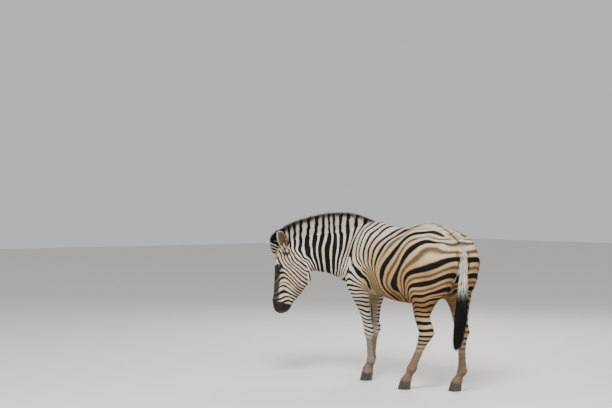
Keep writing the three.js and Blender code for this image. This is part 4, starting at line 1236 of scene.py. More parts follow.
def unroll(points, faces):
    """The hide unrolled as a maker would cut it: trunk and neck along the belly, head, four legs and tail."""
    x, y, z = points.T
    run = run_of(points)
    beside = beside_line(points, run)
    on_neck = np.clip(-run / NECK_LENGTH, 0, 1)
    core = np.interp(on_neck, [0, 0.2, 0.45, 0.78, 1.0], [940, 985, 1010, 1015, 1000])
    side, out, s = in_head(points).T
    parts = [(np.arctan2(beside, z - core) / (2 * math.pi) + 0.5, run, (0.01, 0.41, 0.98, 0.58))]
    parts.append((np.arctan2(side, out + 40) / (2 * math.pi) + 0.5, s, (0.01, 0.01, 0.24, 0.38)))
    where = np.zeros(len(points), int)
    on_face = (s > 20) & (np.hypot(side, out + 40) < 190) & (z < 1080)
    where[on_face] = 1
    for i, (way, _, joints) in enumerate(LEGS.values()):
        line_x, line_y, _ = leg_line(way, joints, z)
        angle = np.arctan2(y - line_y, x - line_x) / (2 * math.pi) + 0.5
        parts.append((angle, z, (0.27 + 0.15 * i, 0.01, 0.13, 0.38)))
        where[(np.hypot(x - line_x, y - line_y) < 130) & (z < 640)] = 2 + i
    line_y = np.interp(-z, [-1085, -955, -760], [900, 1000, 1000])
    parts.append((np.arctan2(x, y - line_y) / (2 * math.pi) + 0.5, z, (0.88, 0.01, 0.08, 0.38)))
    where[(y > 950) & (z < 1040) & (np.abs(x) < 60)] = 6
    kind = np.median(where[faces], axis=1).astype(int)
    places = np.zeros((len(faces), 3, 2))
    for i, (turn, along, frame) in enumerate(parts):
        mine = kind == i
        places[mine] = wrapped(turn, along, faces[mine], frame)
    return np.clip(places, 0.001, 0.999)


set_patches(hide, unroll(points, faces))

# ---------------------------------------------------------------- the hair
# Locks of hair stand a little off the hide and lie along it, backwards on the trunk and down the legs.
# Each is a thin closed blade, rooted in the hide, and small on the face and feet.


def lie_of(points, outward):
    """Which way the hair lies at points of the hide."""
    run = run_of(points)
    turn = NECK_TURN * smoothstep(0.0, NECK_BEND_END, -run / NECK_LENGTH)
    way = np.column_stack([-np.sin(turn), np.cos(turn), np.full(len(points), -0.45)])
    close, _, _ = leg_frame(points)
    close = (close * smoothstep(900, 640, points[:, 2]))[:, None]
    way = way * (1 - close) + np.array([0.0, 0.25, -1.0]) * close
    side, out, s = in_head(points).T
    face = (smoothstep(-20, 40, s) * smoothstep(230, 190, np.hypot(side, out + 40)))[:, None]
    way = way * (1 - face) + (head_down - head_out * 0.35) * face
    tail = (smoothstep(950, 975, points[:, 1]) * smoothstep(80, 60, np.abs(points[:, 0])))[:, None]
    way = way * (1 - tail) + np.array([0.0, 0.0, -1.0]) * tail
    way -= outward * (way * outward).sum(axis=1, keepdims=True)
    return unit(way)


def lock_rise(share):
    """How a lock leaves the hide: its root is sunk, its middle lies close, and its tip lifts."""
    return -0.55 + 1.15 * smoothstep(0.0, 0.35, share) + 0.5 * share**2


def lock_template(name, joints):
    """One lock along +X, a metre long and two wide, flat below, ridged above and pointed at both ends."""
    rows = [(0.0, 0.0, 0.0)]
    for share, half, top in joints:
        rows += [(share, half, 0.0), (share, -half, 0.0), (share, 0.0, top)]
    rows.append((1.0, 0.0, 0.0))
    last = len(rows) - 1
    faces = [(1 + j, 1 + (j + 1) % 3, 0) for j in range(3)]
    faces += [(last - 3 + j, last - 3 + (j + 1) % 3, last) for j in range(3)]
    for i in range(len(joints) - 1):
        for j in range(3):
            k = (j + 1) % 3
            faces.append((1 + i * 3 + j, 1 + i * 3 + k, 4 + i * 3 + k, 4 + i * 3 + j))
    rows = np.array(rows)
    lifted = rows.copy()
    lifted[:, 2] += lock_rise(rows[:, 0])
    mesh = bpy.data.meshes.new(name)
    mesh.from_pydata(lifted, [], faces)
    mesh.shade_smooth()
    made = bpy.data.objects.new(name, mesh)
    bpy.context.scene.collection.objects.link(made)
    faced_out(made)
    set_rows(mesh, {"patch": np.column_stack([rows[:, 0] - 0.5, rows[:, 1] / 2, 0 * rows[:, 0]])})
    return made


LOCK_PATCH = 0.003  # how wide one lock's patch is on the map for baking


def hair_tree():
    """Plants locks over a surface by its own rows: lie, rise, reach, girth and growth."""
    tree = bpy.data.node_groups.new("locks_of_hair", "GeometryNodeTree")
    tree.interface.new_socket("Surface", in_out="INPUT", socket_type="NodeSocketGeometry")
    for name, kind, value in (
        ("Lock", "NodeSocketObject", None),
        ("Locks per square metre", "NodeSocketFloat", 1000.0),
        ("Looseness", "NodeSocketFloat", 0.1),
        ("Height", "NodeSocketFloat", 0.002),
        ("Seed", "NodeSocketInt", 1),
        ("Hair", "NodeSocketMaterial", None),
    ):
        socket = tree.interface.new_socket(name, in_out="INPUT", socket_type=kind)
        if value is not None:
            socket.default_value = value
    tree.interface.new_socket("Coat", in_out="OUTPUT", socket_type="NodeSocketGeometry")
    given = add(tree, "NodeGroupInput").outputs
    kinds = dict.fromkeys(("lie", "rise", "OFBake", "root_place", "patch"), "FLOAT_VECTOR")
    kinds.update(dict.fromkeys(("reach", "girth", "growth"), "FLOAT"))
    rows = {}
    for name, kind in kinds.items():
        held = add(tree, "GeometryNodeInputNamedAttribute", {"Name": name}, data_type=kind)
        rows[name] = held.outputs["Attribute"]
    density = add(
        tree, "ShaderNodeMath", {0: rows["growth"], 1: given["Locks per square metre"]}, operation="MULTIPLY"
    ).outputs[0]
    roots = add(
        tree,
        "GeometryNodeDistributePointsOnFaces",
        {"Mesh": given["Surface"], "Density": density, "Seed": given["Seed"]},
        distribute_method="RANDOM",
    ).outputs["Points"]
    roots = add(
        tree,
        "GeometryNodeStoreNamedAttribute",
        {"Geometry": roots, "Name": "root_place", "Value": rows["OFBake"]},
        data_type="FLOAT_VECTOR",
        domain="POINT",
    ).outputs[0]
    roots = add(tree, "GeometryNodeRemoveAttribute", {"Geometry": roots, "Name": "OFBake"}).outputs[0]
    stray = add(
        tree,
        "FunctionNodeRandomValue",
        {0: (-1.0, -1.0, -1.0), 1: (1.0, 1.0, 1.0), "Seed": given["Seed"]},
        data_type="FLOAT_VECTOR",
    ).outputs[0]
    stray = add(
        tree, "ShaderNodeVectorMath", {0: stray, "Scale": given["Looseness"]}, operation="SCALE"
    ).outputs[0]
    way = add(tree, "ShaderNodeVectorMath", {0: rows["lie"], 1: stray}, operation="ADD").outputs[0]
    stood = add(tree, "FunctionNodeAlignRotationToVector", {"Vector": rows["rise"]}, axis="Z").outputs[0]
    laid = add(
        tree,
        "FunctionNodeAlignRotationToVector",
        {"Rotation": stood, "Vector": way},
        axis="X",
        pivot_axis="AUTO",
    ).outputs[0]
    vary = add(
        tree, "FunctionNodeRandomValue", {2: 0.7, 3: 1.2, "Seed": given["Seed"]}, data_type="FLOAT"
    ).outputs[1]
    long = add(tree, "ShaderNodeMath", {0: rows["reach"], 1: vary}, operation="MULTIPLY").outputs[0]
    size = add(
        tree, "ShaderNodeCombineXYZ", {0: long, 1: rows["girth"], 2: given["Height"]}
    ).outputs[0]
    shape = add(tree, "GeometryNodeObjectInfo", {"Object": given["Lock"]}).outputs["Geometry"]
    planted = add(
        tree,
        "GeometryNodeInstanceOnPoints",
        {"Points": roots, "Instance": shape, "Rotation": laid, "Scale": size},
    ).outputs[0]
    real = add(tree, "GeometryNodeRealizeInstances", {"Geometry": planted}).outputs[0]
    patch = add(
        tree, "ShaderNodeVectorMath", {0: rows["patch"], "Scale": LOCK_PATCH}, operation="SCALE"
    ).outputs[0]
    place = add(tree, "ShaderNodeVectorMath", {0: rows["root_place"], 1: patch}, operation="ADD").outputs[0]
    real = add(
        tree,
        "GeometryNodeStoreNamedAttribute",
        {"Geometry": real, "Name": "OFBake", "Value": place},
        data_type="FLOAT2",
        domain="CORNER",
    ).outputs[0]
    real = add(tree, "GeometryNodeSetMaterial", {"Geometry": real, "Material": given["Hair"]}).outputs[0]
    add(tree, "NodeGroupOutput", {0: real})
    return tree


HAIR_TREE = hair_tree()
SHORT_LOCK = lock_template("short_lock", [(0.22, 1.0, 0.5), (0.62, 0.8, 0.4)])
KEPT_ROWS = ("OFBake", "position", "sharp_face", "material_index")


def grow(name, surface, settings, rows_at, lock=SHORT_LOCK):
    """A coat of locks on a surface as one plain mesh, with its colours read at every point of every lock."""
    made = bpy.data.objects.new(name, surface.data.copy())
    bpy.context.scene.collection.objects.link(made)
    planted = made.modifiers.new("locks", "NODES")
    planted.node_group = HAIR_TREE
    settings = {"Lock": lock, **settings}
    for item in HAIR_TREE.interface.items_tree:
        if item.in_out == "INPUT" and item.name in settings:
            planted[item.identifier] = settings[item.name]
    shape = bpy.data.meshes.new_from_object(made.evaluated_get(bpy.context.evaluated_depsgraph_get()))
    made.modifiers.remove(planted)
    made.data = shape
    shape.name = name
    for row in list(shape.attributes):
        if not (row.name in KEPT_ROWS or row.is_internal or row.name.startswith(".")):
            shape.attributes.remove(row)
    spots = np.empty(len(shape.vertices) * 3, np.float32)
    shape.vertices.foreach_get("co", spots)
    set_rows(shape, rows_at(spots.reshape(-1, 3) / MM - STAND))
    shape.shade_smooth()
    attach(made, "root")
    return made


def growing_on(surface, lie, rise, reach, girth, growth):
    """Stores what the hair tree reads on a surface."""
    for name, values in (("lie", lie), ("rise", rise)):
        stored = surface.data.attributes.new(name, "FLOAT_VECTOR", "POINT")
        stored.data.foreach_set("vector", np.asarray(values, np.float32).ravel())
    for name, values in (("reach", reach * MM), ("girth", girth * MM), ("growth", growth)):
        stored = surface.data.attributes.new(name, "FLOAT", "POINT")
        stored.data.foreach_set("value", np.asarray(values, np.float32))


outward = outward_of(points, faces)
x, y, z = points.T
side, out, s = in_head(points).T
run = run_of(points)
close, _, behind = leg_frame(points)
face = smoothstep(-10, 30, s) * smoothstep(235, 200, np.hypot(side, out + 40)) * (z < 1110)
low_leg = smoothstep(640, 600, z)
round_eye = smoothstep(31, 26, from_eyes(points))
lips = smoothstep(438, 456, s) * smoothstep(16, 6, np.abs(lip_line(out, s)))
nostril = smoothstep(34, 22, from_nostrils(side, out, s))
bald = np.maximum.reduce([face * round_eye, face * lips, face * nostril, smoothstep(62, 56, z)])
under = smoothstep(-0.4, -0.85, outward[:, 2]) * (z > 600) * (1 - face)
feather = bump(z, 150, 60) * smoothstep(10, 30, behind) * close
coronet = bump(z, 76, 16) * close
# the locks' length and half width, in millimetres: longer under the belly, behind the fetlocks and on the jaw
reach = 25 - 14 * face - 10 * low_leg + 8 * under + 16 * feather + 4 * coronet
reach += 8 * face * smoothstep(-60, -110, out) * smoothstep(120, 200, s)
reach -= 2.5 * face * smoothstep(400, 460, s)
girth = 1.6 - 0.85 * face - 0.6 * low_leg
growing_on(hide, lie_of(points, outward), outward, reach, girth, np.zeros(len(points)))
# The locks are the same hair, with less bump, as their own shapes catch the light.
SHORT_HAIR = coat_material("short_striped_hair_in_locks", "#0c0a08", relief=0.25)
first, second, third = (points[faces[:, corner]] for corner in (0, 1, 2))
hide_area = np.linalg.norm(np.cross(second - first, third - first), axis=1) / 2 * MM**2
SHORT_COUNT = 15800  # locks on each part of the hide
above_legs = z > 600
coat_parts = (
    ("coat_of_head", face),
    ("coat_of_neck", smoothstep(-130, -170, run) * (1 - face) * above_legs),
    ("coat_of_shoulders", smoothstep(-170, -130, run) * smoothstep(150, 120, y) * above_legs * (1 - face)),
    ("coat_of_barrel", smoothstep(120, 150, y) * smoothstep(590, 560, y) * above_legs),
    ("coat_of_haunches", smoothstep(560, 590, y) * above_legs),
    ("coat_of_legs", ~above_legs * (1 - face)),
)
for seed, (name, share) in enumerate(coat_parts):
    share = share * (1 - bald)
    hide.data.attributes["growth"].data.foreach_set("value", share.astype(np.float32))
    planted_area = (share[faces].mean(axis=1) * hide_area).sum()
    settings = {
        "Locks per square metre": SHORT_COUNT / planted_area,
        "Looseness": 0.16,
        "Height": 0.0011 if name in ("coat_of_head", "coat_of_legs") else 0.0018,
        "Seed": seed + 1,
        "Hair": SHORT_HAIR,
    }
    made = grow(name, hide, settings, markings)

# ---------------------------------------------------------------- the ears
# Each ear is a leaf of gristle with thin hide on both faces, bent into a cup, with short hair outside and
# longer pale hair in its mouth. It grows out of the head behind the brow.
EAR_LENGTH = 180
EAR_PROFILE = [
    # share of the length, half width, depth behind the middle line, and how far round its edges come
    (-0.16, 12, 12, 172),
    (0.02, 25, 27, 166),
    (0.20, 37, 35, 142),
    (0.40, 44, 34, 114),
    (0.60, 45, 29, 98),
    (0.78, 40, 22, 90),
    (0.91, 28, 13, 84),
    (0.99, 10, 5, 80),
    (1.01, 2, 1, 80),
]
EAR_POSES = {"left": ((0.22, 0.40, -0.89), (0.9, 0.3, 0.3)), "right": ((0.45, 0.66, -0.6), (0.75, 0.3, 0.6))}
EAR_AROUND = 26
EAR_THICKNESS = 5.0
ear_rows = curve_rows(EAR_PROFILE, 6)
ear_columns = list(zip(*EAR_PROFILE))


def ear_marks(root, up, mouth, lateral):
    """The colours of an ear: banded behind with a dark edge, and brown inside with a pale rim."""
    def found(points):
        rows = markings(points)
        along = (points - root) @ up / EAR_LENGTH
        half, deep, edge = (np.interp(along, ear_columns[0], column) for column in ear_columns[1:])
        across = (points - root) @ lateral
        back = -((points - root) @ mouth)
        inside = smoothstep(0.97, 0.90, np.hypot(across / half, back / deep))
        turn = np.degrees(np.abs(np.arctan2(across / half, back / deep)))
        by_edge = smoothstep(34, 12, edge - turn)
        number = 2.4 * along + 0.1 * wander(points, 20, 9)
        zero = np.zeros(len(points))
        tip = smoothstep(0.90, 0.97, along)
        streak = 0.5 + 0.5 * np.sin(across * 0.62 + 2.5 * wander(points, 26, 10))
        foot = smoothstep(0.30, 0.12, along + 0.03 * wander(points, 15, 20)) * (1 - inside)
        level = np.cos(np.pi * (0.44 + 0.34 * bump(along, 0.78, 0.26)))
        level += (rows["stripe_share"][:, 2] - level) * foot
        rows["stripe_number"] = np.column_stack([number, number, rows["stripe_number"][:, 2]])
        rows["stripe_share"] = np.column_stack([zero, foot, level])
        outline = (1 - inside) * by_edge * (1 - tip) * (1 - foot)
        rows["stripe_fade"] = np.column_stack([np.maximum(inside, 0.8 * tip), zero, outline])
        brown = inside * (1 - by_edge)
        streaked = brown * (0.2 + 0.5 * streak)
        rows["tint"] = np.column_stack([0.25 + 0.35 * brown, 0.15 + 0.65 * brown, streaked])
        rows["tone"] = np.column_stack([zero + 0.35, zero, zero])
        rows["grain"] = np.column_stack([along * EAR_LENGTH / 14, across / 1.2, back / 1.2])
        return rows
    return found


# The ear's hair is finer than the coat's, so it looks soft and its dark parts are browner.
EAR_HAIR = coat_material("long_pale_hair_in_ear", "#2a211a", relief=0.2)
for name, side in SIDES.items():
    lean, facing = (np.array(row) * (side, 1, 1) for row in EAR_POSES[name])
    root = on_head(side * 58, -22, 48)
    up = unit(lean @ head_axes)
    mouth = facing @ head_axes
    mouth = unit(mouth - up * (mouth @ up))
    lateral = np.cross(up, mouth)
    rings = []
    for i, (share, half, deep, edge) in enumerate(ear_rows):
        turns = np.radians(edge) * (2 * np.arange(EAR_AROUND + 1) / EAR_AROUND - 1)
        thick = min(EAR_THICKNESS, half * 0.6)
        for inset, bend in ((0.0, turns), (thick, turns[::-1])):
            wide, tall = half - inset, deep - inset
            wave = 1.2 * np.sin(share * 19 + 2) * np.abs(np.sin(bend))
            rings.append(
                root + up * share * EAR_LENGTH + np.outer((wide + wave) * np.sin(bend), lateral)
                - np.outer(tall * np.cos(bend), mouth)
            )
    ear_points = np.vstack(rings)
    around = 2 * (EAR_AROUND + 1)
    ear_faces = ring_faces(len(ear_rows), around)
    ear = piece_of(f"ear_{name}_leaf", ear_points, ear_faces, HIDE)
    faced_out(ear)
    marks = ear_marks(root, up, mouth, lateral)
    set_rows(ear.data, marks(ear_points))
    left = 0.965 if side > 0 else 0.985
    ring_patches(ear, len(ear_rows), np.linspace(0, 1, around), (left, 0.01, 0.012, 0.36))
    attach(ear, "root")
    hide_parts(f"ear_{name}")
    share = (ear_points - root) @ up / EAR_LENGTH
    inner = np.tile(np.repeat([0.0, 1.0], EAR_AROUND + 1), len(ear_rows))
    lie = up + mouth * (0.35 * inner)[:, None] + lateral * 0.1
    reach = np.where(inner > 0.5, 26.0, 11.0) * smoothstep(1.05, 0.8, share) * smoothstep(-0.2, 0.1, share)
    girth = np.full(len(inner), 0.8)
    growing_on(ear, lie, outward_at_points(ear), reach, girth, np.where(inner > 0.5, 0.7, 1.0))
    settings = {"Locks per square metre": 60000.0, "Looseness": 0.3, "Height": 0.0008}
    settings.update({"Seed": 20 + side, "Hair": EAR_HAIR})
    tufts = grow(f"ear_{name}_hair", ear, settings, marks)

# ---------------------------------------------------------------- the mane
# Stiff hair stands straight up from the crest of the neck in a close brush, banded like the neck below it.
# Its tips are brown, and it leans forward over the forehead.
MANE_PROFILE = [
    # share of the neck's length, height of the roots, and how far the hair stands up
    (0.04, 1240, 24),
    (0.13, 1234, 66),
    (0.27, 1220, 116),
    (0.43, 1202, 142),
    (0.60, 1182, 150),
    (0.76, 1160, 142),
    (0.90, 1130, 132),
    (0.98, 1100, 122),
]
FORELOCK_PROFILE = [(22, 4, 112), (44, 40, 80), (54, 76, 46)]  # out and s on the head, and how far it stands
MANE_AROUND = 28
mane_stations = []
for share, root, tall in MANE_PROFILE:
    x, y, _ = neck_plan(share)
    mane_stations.append(station(x, y, root, 22, tall - 34 * min(1.0, tall / 100), 30))
for out, s, tall in FORELOCK_PROFILE:
    mane_stations.append(station(*on_head(0, out, s), 18, tall - 24, 26))
mane_columns = list(zip(*MANE_PROFILE))
mane_form = sweep(mane_stations, square=2.2, steps=10)
mane_points, mane_faces = loft_of(mane_form, MANE_AROUND)


def mane_marks(points):
    """The mane takes its bands from the neck below, with hair that runs upwards."""
    rows = markings(points)
    run = run_of(points)
    side, out, s = in_head(points).T
    ahead_share = smoothstep(-30, 20, s) * smoothstep(-10, 30, out)
    number = rows["stripe_number"][:, 0] * (1 - ahead_share) + (-8.0 - (s + 0.4 * out) / 24) * ahead_share
    root, tall = (np.interp(-run / NECK_LENGTH, mane_columns[0], column) for column in mane_columns[1:])
    tip = smoothstep(-44, -12, points[:, 2] - root - tall + 9 * wander(points, 12, 13)) * (1 - ahead_share)
    zero = np.zeros(len(points))
    rows["stripe_number"] = np.column_stack([number + 0.08 * wander(points, 16, 12)] * 3)
    rows["stripe_share"] = np.column_stack([zero, zero, np.cos(np.pi * (0.46 + 0.12 * ahead_share))])
    rows["stripe_fade"] = np.column_stack([zero, zero, zero])
    # a taupe of 0.16 over the whole mane is painted shade on its pale hair; the tips get more with their own
    # brown
    rows["tint"] = np.column_stack([0.05 + 0.3 * ahead_share, 0.16 + 0.14 * tip, zero])
    rows["tone"] = np.column_stack([zero, zero, 0.92 * tip])
    rows["grain"] = np.column_stack([points[:, 2] / 16, run / 1.6, (points[:, 0] - points[:, 1]) / 1.6])
    return rows


# Stiff upright hair with a strong grain, so it looks like a brush.
MANE_HAIR = coat_material("stiff_mane_hair", "#0e0b09", relief=0.8)
mane = piece_of("mane_brush", mane_points, mane_faces, MANE_HAIR)
faced_out(mane)
set_rows(mane.data, mane_marks(mane_points))
mane_rings = len(mane_form["rings"])
ring_patches(mane, mane_rings, np.arange(MANE_AROUND) / MANE_AROUND, (0.01, 0.41, 0.2, 0.58))
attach(mane, "root")
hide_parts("mane")
mane_out = outward_at_points(mane)
mane_up, mane_across, mane_travel = (
    np.repeat(mane_form[way], MANE_AROUND, axis=0) for way in ("above", "across", "travel")
)
lie = unit(mane_up + mane_out * 0.10 - mane_travel * 0.05)
rise_way = mane_across * np.sign((mane_out * mane_across).sum(axis=1, keepdims=True) + 1e-6)
over = np.tile(np.sin(np.arange(MANE_AROUND) * 2 * math.pi / MANE_AROUND), mane_rings)
LONG_LOCK = lock_template("long_lock", [(0.15, 1.0, 0.8), (0.5, 0.9, 0.7), (0.8, 0.6, 0.4)])
# the hair is longer where the brush stands higher, and twice as close along its top
mane_reach = np.interp(np.repeat([row[4] for row in mane_form["rings"]], MANE_AROUND), [10, 100], [16, 44])
mane_growth = smoothstep(-0.5, -0.1, over) * (1 + (over > 0.8))
growing_on(mane, lie, rise_way, mane_reach, np.full(len(over), 1.2), mane_growth)
for name, seed in (("mane_under_hair", 41), ("mane_over_hair", 42)):
    settings = {"Locks per square metre": 24000.0, "Looseness": 0.26, "Height": 0.0014}
    settings.update({"Seed": seed, "Hair": MANE_HAIR})
    grown = grow(name, mane, settings, mane_marks, LONG_LOCK)

# ---------------------------------------------------------------- the tail
# The dock carries hair streaked grey and white, and ends in a long black switch that hangs straight down.
# The switch is a tapered core with long locks laid down it.
TAIL_AROUND = 24
tail_stations = [
    station(x, y, z, DOCK_SHARE * side, DOCK_SHARE * depth) for x, y, z, side, depth in TAIL_PROFILE[4:-2]
]
tail_stations += [station(63, 985, 392, 12, 11), station(66, 984, 352, 4, 4)]
tail_form = sweep(tail_stations, ACROSS, steps=6)
tail_points, tail_faces = loft_of(tail_form, TAIL_AROUND)


def tail_marks(points):
    """Grey and white streaks above, black below."""
    rows = markings(points)
    zero = np.zeros(len(points))
    low = smoothstep(840, 700, points[:, 2] + 26 * wander(points, 14, 14))
    angle = np.arctan2(points[:, 0], points[:, 1] - 1000)
    rows["stripe_number"] = np.column_stack([2.2 * angle + 0.35 * wander(points, 22, 15)] * 3)
    streaks = 0.24 + 0.12 * wander(points, 30, 16)
    rows["stripe_share"] = np.column_stack([zero, zero, np.cos(np.pi * streaks)])
    rows["stripe_fade"] = np.column_stack([zero, zero, low])
    rows["tint"] = np.column_stack([zero + 0.05, zero + 0.10, zero])
    rows["tone"] = np.column_stack([zero, zero, zero])
    rows["grain"] = np.column_stack([points[:, 2] / 22, points[:, 0] / 1.5, points[:, 1] / 1.5])
    return rows


# Long smooth hair that hangs in strands, so the light runs down it.
TAIL_HAIR = coat_material("long_tail_hair", "#0d0b0a", relief=0.8)
tail = piece_of("tail_switch", tail_points, tail_faces, TAIL_HAIR)
faced_out(tail)
set_rows(tail.data, tail_marks(tail_points))
tail_rings = len(tail_form["rings"])
ring_patches(tail, tail_rings, np.arange(TAIL_AROUND) / TAIL_AROUND, (0.88, 0.01, 0.07, 0.38))
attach(tail, "root")
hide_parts("tail_tuft")
tail_out = outward_at_points(tail)
down = unit(tail_out * 0.04 - LEVEL)
long = np.interp(tail_points[:, 2], [350, 380, 440, 700, 860], [22, 40, 84, 150, 80])
growing_on(tail, down, tail_out, long, np.full(len(long), 1.9), np.ones(len(long)))
settings = {"Locks per square metre": 26000.0, "Looseness": 0.09, "Height": 0.0022}
settings.update({"Seed": 51, "Hair": TAIL_HAIR})
grown = grow("tail_switch_hair", tail, settings, tail_marks, LONG_LOCK)
# the dock's hair grows on the hide itself, in a strip that widens downwards
dock_wide = np.interp(points[:, 2], [760, 960, 1060], [46, 40, 22])
dock_share = smoothstep(945, 985, points[:, 1]) * smoothstep(6, -6, np.abs(points[:, 0]) - dock_wide)
dock_share *= points[:, 2] > 700
hide.data.attributes["growth"].data.foreach_set("value", dock_share.astype(np.float32))
long = np.interp(points[:, 2], [760, 1060], [90, 24])
hide.data.attributes["reach"].data.foreach_set("value", (long * MM).astype(np.float32))
hide.data.attributes["girth"].data.foreach_set("value", np.full(len(long), 1.4 * MM, np.float32))
settings = {"Locks per square metre": 60000.0, "Looseness": 0.10, "Height": 0.0026}
settings.update({"Seed": 52, "Hair": TAIL_HAIR})
grown = grow("tail_dock_hair", hide, settings, tail_marks, LONG_LOCK)

# ---------------------------------------------------------------- the eyes
# A wet brown ball sits under the lids, with a slight bulge over the iris and a level, oval pupil.
# It is drawn as rings round the line of sight, and each point holds its place on the iris.
IRIS_DEGREES = 62  # from the line of sight to the rim's dark end
PUPIL_LONG = 8.5
PUPIL_HIGH = 4.2
BULGE = 1.3
EYE_RINGS = 25
EYE_AROUND = 32
# A wet, nearly black brown with darker fibres, so the eye shows little but a sharp light.
wet, tree, shader = new_material("wet_brown_eye")
seen = add(tree, "ShaderNodeAttribute", attribute_name="iris").outputs["Vector"]
parts = add(tree, "ShaderNodeSeparateXYZ", {0: seen}).outputs
fibres = add(tree, "ShaderNodeTexNoise", {"Vector": seen, "Scale": 9.0, "Detail": 2.0}).outputs["Fac"]
rim = add(tree, "ShaderNodeValToRGB", {0: parts[0]})
rim.color_ramp.elements[0].color = linear("#2c1709")
rim.color_ramp.elements[1].color = linear("#1a1310")
rim.color_ramp.elements.new(0.62).color = linear("#120c09")
pupil = add(tree, "ShaderNodeMapRange", {"Value": parts[1], 1: 0.9, 2: 1.1, 3: 1.0, 4: 0.0}).outputs[0]
hue = rim.outputs[0]
for cover, hex_colour in ((fibres, "#1c100a"), (pupil, "#040404")):
    hue = add(tree, "ShaderNodeMix", {0: cover, 6: hue, 7: linear(hex_colour)}, data_type="RGBA").outputs[2]
tree.links.new(hue, shader.inputs["Base Color"])
shader.inputs["Roughness"].default_value = 0.06
shader.inputs["Specular IOR Level"].default_value = 0.4
for name, side in SIDES.items():
    gaze, slit, upper = eye_axes(side)
    rings = []
    rows = []
    for degrees in 0.5 + np.arange(EYE_RINGS) * 179 / (EYE_RINGS - 1):
        angle = math.radians(degrees)
        reach = EYE_RADIUS + BULGE * bump(degrees, 0, 38)
        for turn in np.arange(EYE_AROUND) * 2 * math.pi / EYE_AROUND:
            flat = slit * math.cos(turn) + upper * math.sin(turn)
            rings.append(EYE_CENTRES[name] + (gaze * math.cos(angle) + flat * math.sin(angle)) * reach)
            out_by = math.sin(angle) * EYE_RADIUS
            on_pupil = math.hypot(math.cos(turn) * out_by / PUPIL_LONG, math.sin(turn) * out_by / PUPIL_HIGH)
            rows.append((min(degrees / IRIS_DEGREES, 1), on_pupil, turn * 1.2))
    ball = piece_of(f"eye_{name}_ball", np.array(rings), ring_faces(EYE_RINGS, EYE_AROUND), wet)
    faced_out(ball)
    set_rows(ball.data, {"iris": np.array(rows)})
    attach(ball, "root")
    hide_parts(f"eye_{name}")

# ---------------------------------------------------------------- the hooves
# Each hoof is a wall of horn, grown in fine rings and worn flat below, with a sole set up inside its edge and
# a frog under the heel. It is drawn as level rings from the middle of the sole out and up the wall.
HOOF_AROUND = 48
HOOF_HEIGHT = 66
HOOF_HALF_WIDTH = 43
HEEL_DEPTH = 44
TOE_DEPTH = 50
TOE_FORWARD = 16  # how far the ground edge lies in front of the top
WALL_STEPS = 14
# share of the height, and how far in the ring is drawn: the wall, then its top edge turned in under the hair
HOOF_WALL = [(i / WALL_STEPS, 1.0) for i in range(WALL_STEPS + 1)] + [(1.0, 0.93), (0.97, 0.84), (0.82, 0.72)]
HOOF_SOLE = [(0.86, 4.0), (0.6, 6.0), (0.3, 5.0), (0.05, 5.0)]  # share of the ground edge, and height
# Dark grey-brown horn with level rings and fine upright lines, so it looks dull, hard and a little worn.
horn, tree, shader = new_material("ringed_hoof_horn")
place = add(tree, "ShaderNodeTexCoord").outputs["Object"]
rings_at = add(tree, "ShaderNodeMapping", {"Vector": place, "Scale": (20.0, 20.0, 260.0)}).outputs[0]
rings_seen = add(tree, "ShaderNodeTexNoise", {"Vector": rings_at, "Scale": 1.0, "Detail": 3.0}).outputs["Fac"]
lines_at = add(tree, "ShaderNodeMapping", {"Vector": place, "Scale": (700.0, 700.0, 20.0)}).outputs[0]
lines_seen = add(tree, "ShaderNodeTexNoise", {"Vector": lines_at, "Scale": 1.0, "Detail": 2.0}).outputs["Fac"]
both = add(tree, "ShaderNodeMix", {0: 0.4, 2: rings_seen, 3: lines_seen}).outputs[0]
hue = add(tree, "ShaderNodeValToRGB", {0: both})
hue.color_ramp.elements[0].position = 0.35
hue.color_ramp.elements[0].color = linear("#1d1a18")
hue.color_ramp.elements[1].position = 0.68
hue.color_ramp.elements[1].color = linear("#4a423a")
tree.links.new(hue.outputs[0], shader.inputs["Base Color"])
raised = add(tree, "ShaderNodeBump", {"Height": both, "Strength": 0.4, "Distance": 0.0015}).outputs[0]
tree.links.new(raised, shader.inputs["Normal"])
shader.inputs["Roughness"].default_value = 0.45
turns = np.arange(HOOF_AROUND) * 2 * math.pi / HOOF_AROUND
across, back = np.sin(turns), np.cos(turns)
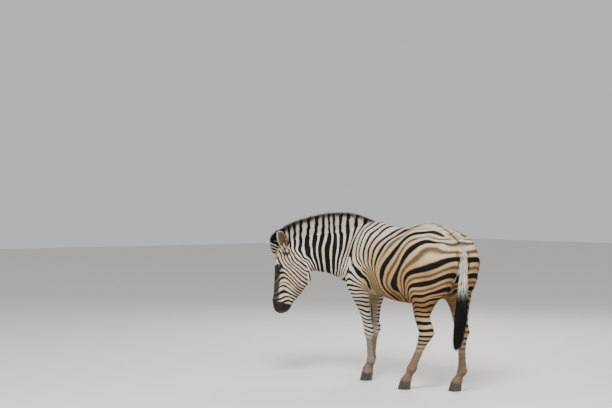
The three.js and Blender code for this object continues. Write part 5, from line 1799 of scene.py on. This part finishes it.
for name, (side, _, joints) in LEGS.items():
    at = np.array(joints[3], float) * (side, 1, 1)
    wall = []
    for up, closer in HOOF_WALL:
        grown = 0.35 * math.sin(up * 42) * (closer == 1.0) * smoothstep(0, 0.1, up) * smoothstep(1, 0.9, up)
        wide = HOOF_HALF_WIDTH * (1.12 - 0.19 * up) * closer * np.sign(across) * np.abs(across) ** 0.9
        deep = np.where(back > 0, HEEL_DEPTH * (1.0 - 0.14 * up), TOE_DEPTH * (1.16 - 0.30 * up)) * closer
        ring_x = wide + grown * across
        ring_y = (deep + grown) * back - (1 - up) * TOE_FORWARD
        ring_z = (HOOF_HEIGHT - 0.22 * ring_y) * up
        wall.append(np.column_stack([at[0] + ring_x, at[1] + ring_y, ring_z]))
    middle = wall[0].mean(axis=0)
    sole = []
    for shrink, rise in HOOF_SOLE:
        flat = middle + (wall[0] - middle) * shrink
        frog = bump(flat[:, 0] - at[0], 0, 15) * smoothstep(-14, 20, flat[:, 1] - at[1])
        flat[:, 2] = rise * (1 - 0.7 * frog)
        sole.append(flat)
    rings = sole[::-1] + wall
    hoof = piece_of(f"{name}_hoof_wall", np.vstack(rings), ring_faces(len(rings), HOOF_AROUND), horn)
    faced_out(hoof)
    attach(hoof, "root")
    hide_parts(f"{name}_hoof")

# the two lock shapes have been planted, and are no pieces themselves
for helper in (SHORT_LOCK, LONG_LOCK):
    bpy.data.objects.remove(helper)

# ---------------------------------------------------------------- the studio
# A plain pale floor lies under soft light from large round lamps. The camera stands behind the animal and to
# its left, a little higher than its back.
FLOOR_SIZE = 60
# Pale matt board, which shows soft shadows and no reflections.
floor_material, _, floor_shader = new_material("pale_matt_floor")
floor_shader.inputs["Base Color"].default_value = linear("#e2dfda")
floor_shader.inputs["Roughness"].default_value = 0.9
bpy.ops.mesh.primitive_plane_add(size=FLOOR_SIZE, location=(0, 0, 0))
floor = bpy.context.object
floor.name = "studio_floor"
floor.data.materials.append(floor_material)

world = bpy.data.worlds.new("studio_air")
bpy.context.scene.world = world
world.use_nodes = True
air = world.node_tree.nodes["Background"]
air.inputs["Color"].default_value = linear("#e6e8ea")
air.inputs["Strength"].default_value = 0.75
LAMPS = (  # name, place, width in metres and power in watts
    ("key_lamp", (3.6, 3.4, 5.6), 2.6, 620),
    ("fill_lamp", (0.5, 7.0, 3.2), 3.5, 150),
    ("back_lamp", (-3.5, -3.0, 4.5), 3.0, 200),
)
LIT_PLACE = Vector((0, 0, 0.7))
for name, place, size, power in LAMPS:
    lamp = bpy.data.objects.new(name, bpy.data.lights.new(name, "AREA"))
    lamp.data.shape = "DISK"
    lamp.data.size = size
    lamp.data.energy = power
    lamp.location = place
    lamp.rotation_euler = (LIT_PLACE - Vector(place)).to_track_quat("-Z", "Y").to_euler()
    bpy.context.scene.collection.objects.link(lamp)

camera = bpy.data.objects.new("camera", bpy.data.cameras.new("camera"))
camera.data.sensor_width = 36  # millimetres, as the lens
camera.data.lens = 70
camera.location = (5.935, 7.257, 1.400)
sight = Vector((-0.5878, -0.8090, 0.0018))  # level, 36 degrees from straight along the animal
camera.rotation_euler = sight.to_track_quat("-Z", "Y").to_euler()
bpy.context.scene.collection.objects.link(camera)
bpy.context.scene.camera = camera
